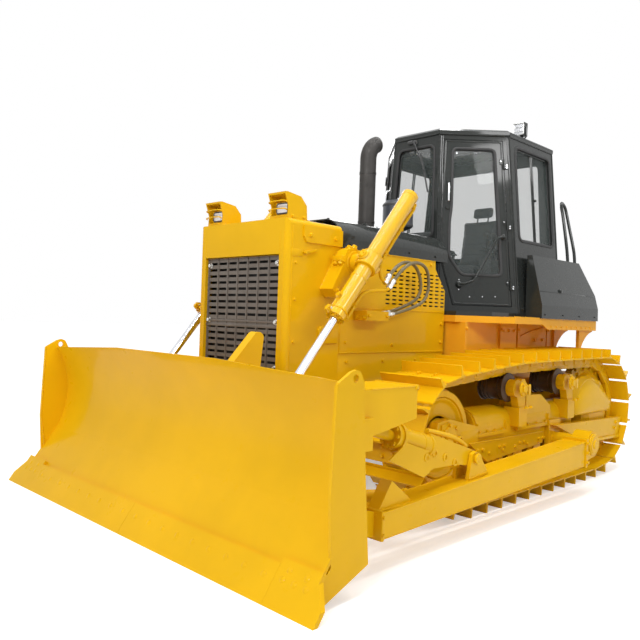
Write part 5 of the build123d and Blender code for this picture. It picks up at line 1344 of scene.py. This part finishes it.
def wiper(bm):
    """Motor cap, arm and blade of the front window's wiper."""
    spot = wall(FRONT_WALL)
    out = outward_of(spot)
    u, v = 285, 1500
    lathe(bm, spot(u, v, -1), out, [(0, 24), (10, 24), (14, 18), (26, 16), (30, 10), (30, 0)], 24)
    bar(bm, spot(u - 70, v + 6, 12), spot(u - 20, v + 6, 12), 18, 12, 4)
    bar(bm, spot(u, v, 22), spot(372, 1330, 26), 6, 8)
    bar(bm, spot(372, 1330, 26), spot(404, 1240, 16), 4, 8)
    bar(bm, spot(352, 1392, 2), spot(450, 1040, 2), 7, 8)
    bar(bm, spot(352, 1392, -6), spot(450, 1040, -6), 3.5, 6)
    lathe(bm, spot(404, 1240, 4), out, [(0, 9), (14, 9), (16, 6), (16, 0)], 12)


def hinge_bolts(bm):
    for sign in (1, -1):
        spot = wall(DOOR_WALL, sign)
        for v in HINGE_V:
            for dv in (-30, -12):
                bolt(bm, spot(door_u(v, -24), v + dv, 10), outward_of(spot), 13, False)


# ================================ doors ================================

def door_gasket(bm, spot):
    gasket(bm, spot, DOOR_WINDOW, 46, -20)


def door_trim(bm, spot):
    """Weather strip, the handle's feet, hinge bolts and the grab bar's feet."""
    out = outward_of(spot)
    edging(bm, spot, offset(rounded(DOOR_EDGE, 30), 5), 14, 4)
    for v in (900, 1130):
        bar(bm, spot(84, v, -1), spot(84, v, 9), 20, 20, 3)
    for v in HINGE_V:
        for dv in (-14, 14):
            bolt(bm, spot(door_u(v, 22), v + 22 + dv * 0.6, 11), out, 13, False)
    foot = [(0, 26), (10, 26), (14, 20), (34, 16), (38, 12), (38, 0)]
    lathe(bm, spot(door_u(650, 34), 650, -1), out, foot, 20)
    lathe(bm, spot(196, 232, -1), out, [(0, 30), (12, 30), (16, 24), (36, 22), (40, 16), (40, 0)], 20)


def grab_bar(bm, spot):
    end = door_u(650, 34)
    bent(bm, [spot(end, 650, 30), spot(end - 14, 650, 52), spot(end - 50, 640, 62), spot(end - 84, 606, 64),
              spot(330, 300, 64), spot(286, 256, 62), spot(232, 238, 50), spot(196, 232, 30)], 10, 12, 6)


def door_chrome(bm, spot):
    """The bright door handle and bolts."""
    out = outward_of(spot)
    handle = [(948, 6), (952, 30), (970, 38), (1030, 40), (1084, 38), (1102, 30), (1106, 6)]
    bent(bm, [spot(84, v, height) for v, height in handle], 9, 12, 5)
    for u, v in ((196, 276), (196, 190), (290, 130), (400, 134), (510, 138)):
        bolt(bm, spot(u, v), out, 9, False)
    for v in HINGE_V:
        bolt(bm, spot(door_u(v, 26), v + 24, 9), out, 12, False)
    bolt(bm, spot(154, DOOR_TOP - 110, -17), out, 11)


def doors(side, sign):
    for draw, slot, material in ((door_gasket, "hose_rubber", "rubber"), (door_trim, "black_paint", None),
                                 (grab_bar, "black_paint", None), (door_chrome, "chrome_rod", "bright")):
        bm = bmesh.new()
        draw(bm, wall(DOOR_WALL, sign))
        piece(draw.__name__ + "_" + side, bm, "door_" + side, slot, material=material)


# ================================ inside the cab ================================

GROOVE_DEPTH = 7.0
GROOVE_WIDE = 14.0


def cushion(name, lo, hi, crown, tilt=0.0, along=1, grooves=()):
    """A stuffed pad: blown up as cloth over its box, then its sewn channels are pressed in."""
    bm = bmesh.new()
    lo, hi = Vector(lo), Vector(hi)
    inset = Vector((9, 9, 9))
    box(bm, lo + inset, hi - inset, 26)
    centre = (lo + hi) / 2
    turn = Matrix.Rotation(tilt, 4, "X")
    for vert in bm.verts:
        vert.co = centre + turn @ (vert.co - centre)
    replaced = ("operator_seat",) if name == "seat_cushion" else ()
    obj = piece(name, bm, "machine", "seat_vinyl", replaces=replaced)
    inflate(obj, crown)
    channels(obj, centre * MM, turn, along, grooves)


def settle(obj):
    """Makes what the modifiers give the object's own mesh."""
    mesh = baked(obj)
    obj.modifiers.clear()
    obj.data = mesh
    return mesh


def inflate(obj, crown):
    """Remeshes the pad and lets cloth pressure crown it, with a cap on how far a point moves."""
    scene = bpy.context.scene
    remesh = obj.modifiers.new("remesh", "REMESH")
    remesh.mode = "VOXEL"
    remesh.voxel_size = 0.011
    start = [vert.co.copy() for vert in settle(obj).vertices]
    cloth = obj.modifiers.new("cloth", "CLOTH").settings
    cloth.use_pressure = True
    cloth.uniform_pressure_force = 4.0
    cloth.effector_weights.gravity = 0.0
    cloth.quality = 4
    for step in range(1, 21):
        scene.frame_set(step)
    for vert, at in zip(settle(obj).vertices, start):
        move = vert.co - at
        if move.length > crown:
            vert.co = at + move.normalized() * crown
    scene.frame_set(1)
    smooth = obj.modifiers.new("smooth", "SUBSURF")
    smooth.levels = 1
    smooth.render_levels = 1
    settle(obj).shade_smooth()


def channels(obj, centre, turn, along, grooves):
    """Presses narrow sewn lines into the pad, at distances from its middle along one of its own axes."""
    back = turn.inverted()
    for vert in obj.data.vertices:
        local = back @ (vert.co - centre)
        for place in grooves:
            away = abs(local[along] - place * MM)
            if away < GROOVE_WIDE * MM:
                dip = GROOVE_DEPTH * MM * (0.5 + 0.5 * math.cos(math.pi * away / (GROOVE_WIDE * MM)))
                vert.co -= (vert.co - centre).normalized() * dip


def cushions():
    """The seat's pads, with the lengths in metres by which they crown."""
    back_tilt = math.radians(-9)
    cushion("seat_cushion", (-235, 872, 1765), (235, 1310, 1885), 0.024, math.radians(2), 1, (-90, 0, 90))
    cushion("seat_back", (-232, 1300, 1880), (232, 1405, 2400), 0.022, back_tilt, 2, (-130, -20, 90))
    cushion("seat_headrest", (-120, 1350, 2395), (120, 1420, 2520), 0.015, back_tilt)
    for side, x in (("left", 262), ("right", -262)):
        cushion("armrest_" + side, (x - 34, 950, 2040), (x + 34, 1290, 2090), 0.012)


def seat_base(bm):
    """Foot, bellows and pan under the seat, the armrests' supports and the headrest's posts."""
    box(bm, (-190, 930, 1442), (190, 1270, 1500), 8)
    for i in range(6):
        fold, z = (i % 2) * 8, 1498 + i * 36
        box(bm, (-165 + fold, 950 + fold, z), (165 - fold, 1250 - fold, z + 40), 10)
    box(bm, (-200, 900, 1716), (200, 1290, 1766), 10)
    for x in (-262, 262):
        bar(bm, (x, 1230, 1800), (x, 1270, 2060), 16, 12, 3)
        box(bm, (x - 30, 948, 2030), (x + 30, 1292, 2046), 5)
    for x in (-60, 60):
        bar(bm, (x, 1372, 2340), (x, 1384, 2440), 7, 10)


def cab_controls(bm):
    """Gauges on the dash, side consoles and pedals."""
    up = Vector((0, 0.707, 0.707))
    gauge = [(0, 30), (6, 32), (10, 30), (10, 26), (4, 26), (4, 0)]
    for x in (-110, -30, 50, 120):
        lathe(bm, Vector((x, 405, 2100)) + up * 4, up, gauge, 28)
    for x in (-330, 330):
        box(bm, (x - 70, 900, 1442), (x + 70, 1360, 1940), 18)
    for x in (-120, 0, 120):
        box(bm, (x - 35, 500, 1500), (x + 35, 512, 1590), 4)
        bar(bm, (x, 440, 1480), (x, 508, 1545), 9, 8)


def control_levers(bm):
    knob = [(0, 10), (10, 22), (40, 26), (62, 20), (70, 8), (71, 0)]
    for x, y, lean in ((330, 960, -40), (360, 1020, -20), (300, 1020, -20), (-330, 960, -40)):
        top = Vector((x, y + lean, 2130))
        bar(bm, (x, y, 1930), top, 8, 10)
        lathe(bm, top - Z * 8, (0, -0.1, 1), knob, 20)


# ================================ studio ================================

# Places of the studio are in metres.
CAMERA_AT = (3.764, -4.661, 1.342)
CAMERA_AZIMUTH = 45.0
CAMERA_PITCH = -0.15
CAMERA_ROLL = 2.0
LENS = 38.6
SENSOR = 36.0
FLOOR_HALF = 60.0
# the floor's own light near the machine and far from it, and the distances between which it grows
FLOOR_LIFT = (0.42, 0.75)
FLOOR_FADE = (4.0, 11.0)
WORLD_LIGHT = 0.5
# name, place, what it points at, its two sides and its power in watts
LAMPS = [
    ("key", (2.5, -8.0, 6.0), (0, 0, 1.2), (4.0, 1.6), 330),
    ("side", (8.0, -1.0, 5.5), (0, 0, 1.2), (6.0, 0.8), 170),
    ("top_left", (2.4, -1.0, 7.0), (0.6, -1.0, 0), (9.0, 0.10), 170),
    ("top_middle", (0.9, -1.0, 7.5), (0.3, -1.0, 0), (9.0, 0.10), 120),
    ("top_right", (-1.6, 0.0, 8.0), (-0.6, 0, 0), (8.0, 0.30), 120),
    ("back", (-6.0, 6.0, 5.0), (0, 0.5, 1.0), (5.0, 3.0), 190),
]


def camera():
    azimuth, pitch, roll = [math.radians(angle) for angle in (CAMERA_AZIMUTH, CAMERA_PITCH, CAMERA_ROLL)]
    level_run = math.cos(pitch)
    forward = Vector((-math.sin(azimuth) * level_run, math.cos(azimuth) * level_run, math.sin(pitch)))
    level = forward.cross(Z).normalized()
    upright = level.cross(forward)
    right = level * math.cos(roll) + upright * math.sin(roll)
    up = upright * math.cos(roll) - level * math.sin(roll)
    data = bpy.data.cameras.new("camera")
    data.lens = LENS
    data.sensor_width = SENSOR
    obj = link("camera", data)
    obj.matrix_world = Matrix.Translation(CAMERA_AT) @ Matrix((right, up, -forward)).transposed().to_4x4()
    bpy.context.scene.camera = obj


def lamp(name, place, target, size, power):
    data = bpy.data.lights.new(name, "AREA")
    data.shape = "RECTANGLE"
    data.size, data.size_y = size
    data.energy = power
    turn = (Vector(place) - Vector(target)).to_track_quat("Z", "Y").to_matrix().to_4x4()
    link(name, data).matrix_world = Matrix.Translation(place) @ turn


def floor():
    mesh = bpy.data.meshes.new("floor")
    corners = rectangle(-FLOOR_HALF, -FLOOR_HALF, FLOOR_HALF, FLOOR_HALF)
    mesh.from_pydata([(x, y, 0) for x, y in corners], [], [(0, 1, 2, 3)])
    mesh.materials.append(floor_material())
    link("floor", mesh)


def math_node(tree, operation, a, b):
    """One arithmetic step on two outputs."""
    node = tree.nodes.new("ShaderNodeMath")
    node.operation = operation
    tree.links.new(a, node.inputs[0])
    tree.links.new(b, node.inputs[1])
    return node.outputs["Value"]


def seen_directly(tree):
    """1 for camera, mirror and glass rays, 0 for light that reaches the object."""
    paths = tree.nodes.new("ShaderNodeLightPath")
    seen = paths.outputs["Is Camera Ray"]
    for kind in ("Is Glossy Ray", "Is Transmission Ray"):
        seen = math_node(tree, "MAXIMUM", seen, paths.outputs[kind])
    return seen


def floor_material():
    """Pale floor that keeps the shadow, lifted to white where it is seen."""
    g = Graph("floor")
    g.vary(g.noise(0.6, 2.0), 0.3, 0.7, (0.83, 0.83, 0.83), (0.85, 0.85, 0.85))
    g.set(Roughness=0.9, Emission_Color=(1, 1, 1, 1))
    place = g.add("ShaderNodeNewGeometry")
    away = g.add("ShaderNodeVectorMath")
    away.operation = "LENGTH"
    g.tree.links.new(place.outputs["Position"], away.inputs[0])
    fade = g.add("ShaderNodeMapRange")
    for socket, value in zip(("From Min", "From Max", "To Min", "To Max"), (*FLOOR_FADE, *FLOOR_LIFT)):
        fade.inputs[socket].default_value = value
    g.tree.links.new(away.outputs["Value"], fade.inputs["Value"])
    lift = math_node(g.tree, "MULTIPLY", seen_directly(g.tree), fade.outputs["Result"])
    g.tree.links.new(lift, g.shader.inputs["Emission Strength"])
    return g.material


def world():
    """Even studio light, with a white ground behind the object for the camera, mirrors and glass."""
    studio_world = bpy.data.worlds.new("world")
    bpy.context.scene.world = studio_world
    studio_world.use_nodes = True
    tree = studio_world.node_tree
    tree.nodes.clear()
    out = tree.nodes.new("ShaderNodeOutputWorld")
    light = tree.nodes.new("ShaderNodeBackground")
    light.inputs["Strength"].default_value = WORLD_LIGHT
    seen = tree.nodes.new("ShaderNodeBackground")
    seen.inputs["Color"].default_value = (1, 1, 1, 1)
    seen.inputs["Strength"].default_value = 1.0
    mix = tree.nodes.new("ShaderNodeMixShader")
    tree.links.new(seen_directly(tree), mix.inputs["Fac"])
    tree.links.new(light.outputs["Background"], mix.inputs[1])
    tree.links.new(seen.outputs["Background"], mix.inputs[2])
    tree.links.new(mix.outputs["Shader"], out.inputs["Surface"])


def studio():
    camera()
    floor()
    world()
    for row in LAMPS:
        lamp(*row)
    bpy.context.scene.view_settings.view_transform = "Standard"


# ================================ the whole machine ================================

SIDE_PIECES = (track, barrel, pipes, barrel_details, barrel_fittings, hoses, hose_ends, rod_details, doors)
# Slot, finish where it isn't the slot's own, whether it's drawn on the left and mirrored, and the functions
# that draw such pieces. Each piece has its function's name. The order decides how the bolt heads are turned.
WHOLE_PIECES = [
    ("yellow_paint", None, True, (idler_details, track_frame_details)),
    # the carrier rollers' ridges: dark brown for grease and painted shade
    ("dark_metal", "greasy", True, (carrier_rings,)),
    ("yellow_paint", None, True, (final_drive_details, push_arm_details, edge_bolts, blade_details)),
    ("yellow_paint", None, False, (tilt_cylinder_details, pitch_brace_details)),
    ("yellow_paint", None, True, (diagonal_brace_details, cylinder_support_details, guard_details)),
    ("chrome_rod", "zinc", False, (grille_bolts,)),
    ("grille_steel", None, False, (grille_ribs,)),
    ("window_glass", "lens", True, (headlamp_lenses,)),
    ("console_plastic", None, True, (headlamp_frames,)),
    ("yellow_paint", None, True, (headlamp_guards,)),
    ("black_paint", None, False, (hood_details,)),
    ("dark_metal", None, False, (stack_details,)),
    ("console_plastic", None, False, (precleaner_rings,)),
    ("chrome_rod", "zinc", False, (precleaner_clamp,)),
    ("yellow_paint", None, True, (side_panel_details,)),
    ("fender_paint", None, True, (fender_details, deck_studs)),
    ("black_paint", None, True, (side_box_details, rear_grab_rails)),
    ("black_paint", None, False, (tank_details,)),
    ("console_plastic", None, False, (filler_cap,)),
    ("yellow_paint", None, False, (rear_case_details,)),
    ("dark_metal", None, False, (drawbar_pin,)),
    ("hose_rubber", "rubber", False, (window_gaskets,)),
    ("black_paint", None, False, (cab_frame_details, roof_details)),
    ("window_glass", "lens", True, (work_lamp_lenses,)),
    ("chrome_rod", "zinc", True, (work_lamp_frames,)),
    ("console_plastic", None, False, (wiper,)),
    ("chrome_rod", "bright", False, (hinge_bolts,)),
]
INSIDE_PIECES = [
    ("console_plastic", None, False, (seat_base, cab_controls)),
    ("dark_metal", None, False, (control_levers,)),
]
BLADE_PIECES = (push_arm_details, edge_bolts, blade_details, tilt_cylinder_details, pitch_brace_details,
                diagonal_brace_details)


def details(rows):
    """Makes the pieces of one of the tables above."""
    for slot, material, both, draws in rows:
        for draw in draws:
            bm = bmesh.new()
            draw(bm)
            if both:
                mirrored(bm)
            piece(draw.__name__, bm, "blade" if draw in BLADE_PIECES else "machine", slot, material=material)


dress_frame()
for side, sign in (("left", 1), ("right", -1)):
    for draw_side in SIDE_PIECES:
        draw_side(side, sign)
details(WHOLE_PIECES)
cushions()
details(INSIDE_PIECES)
studio()
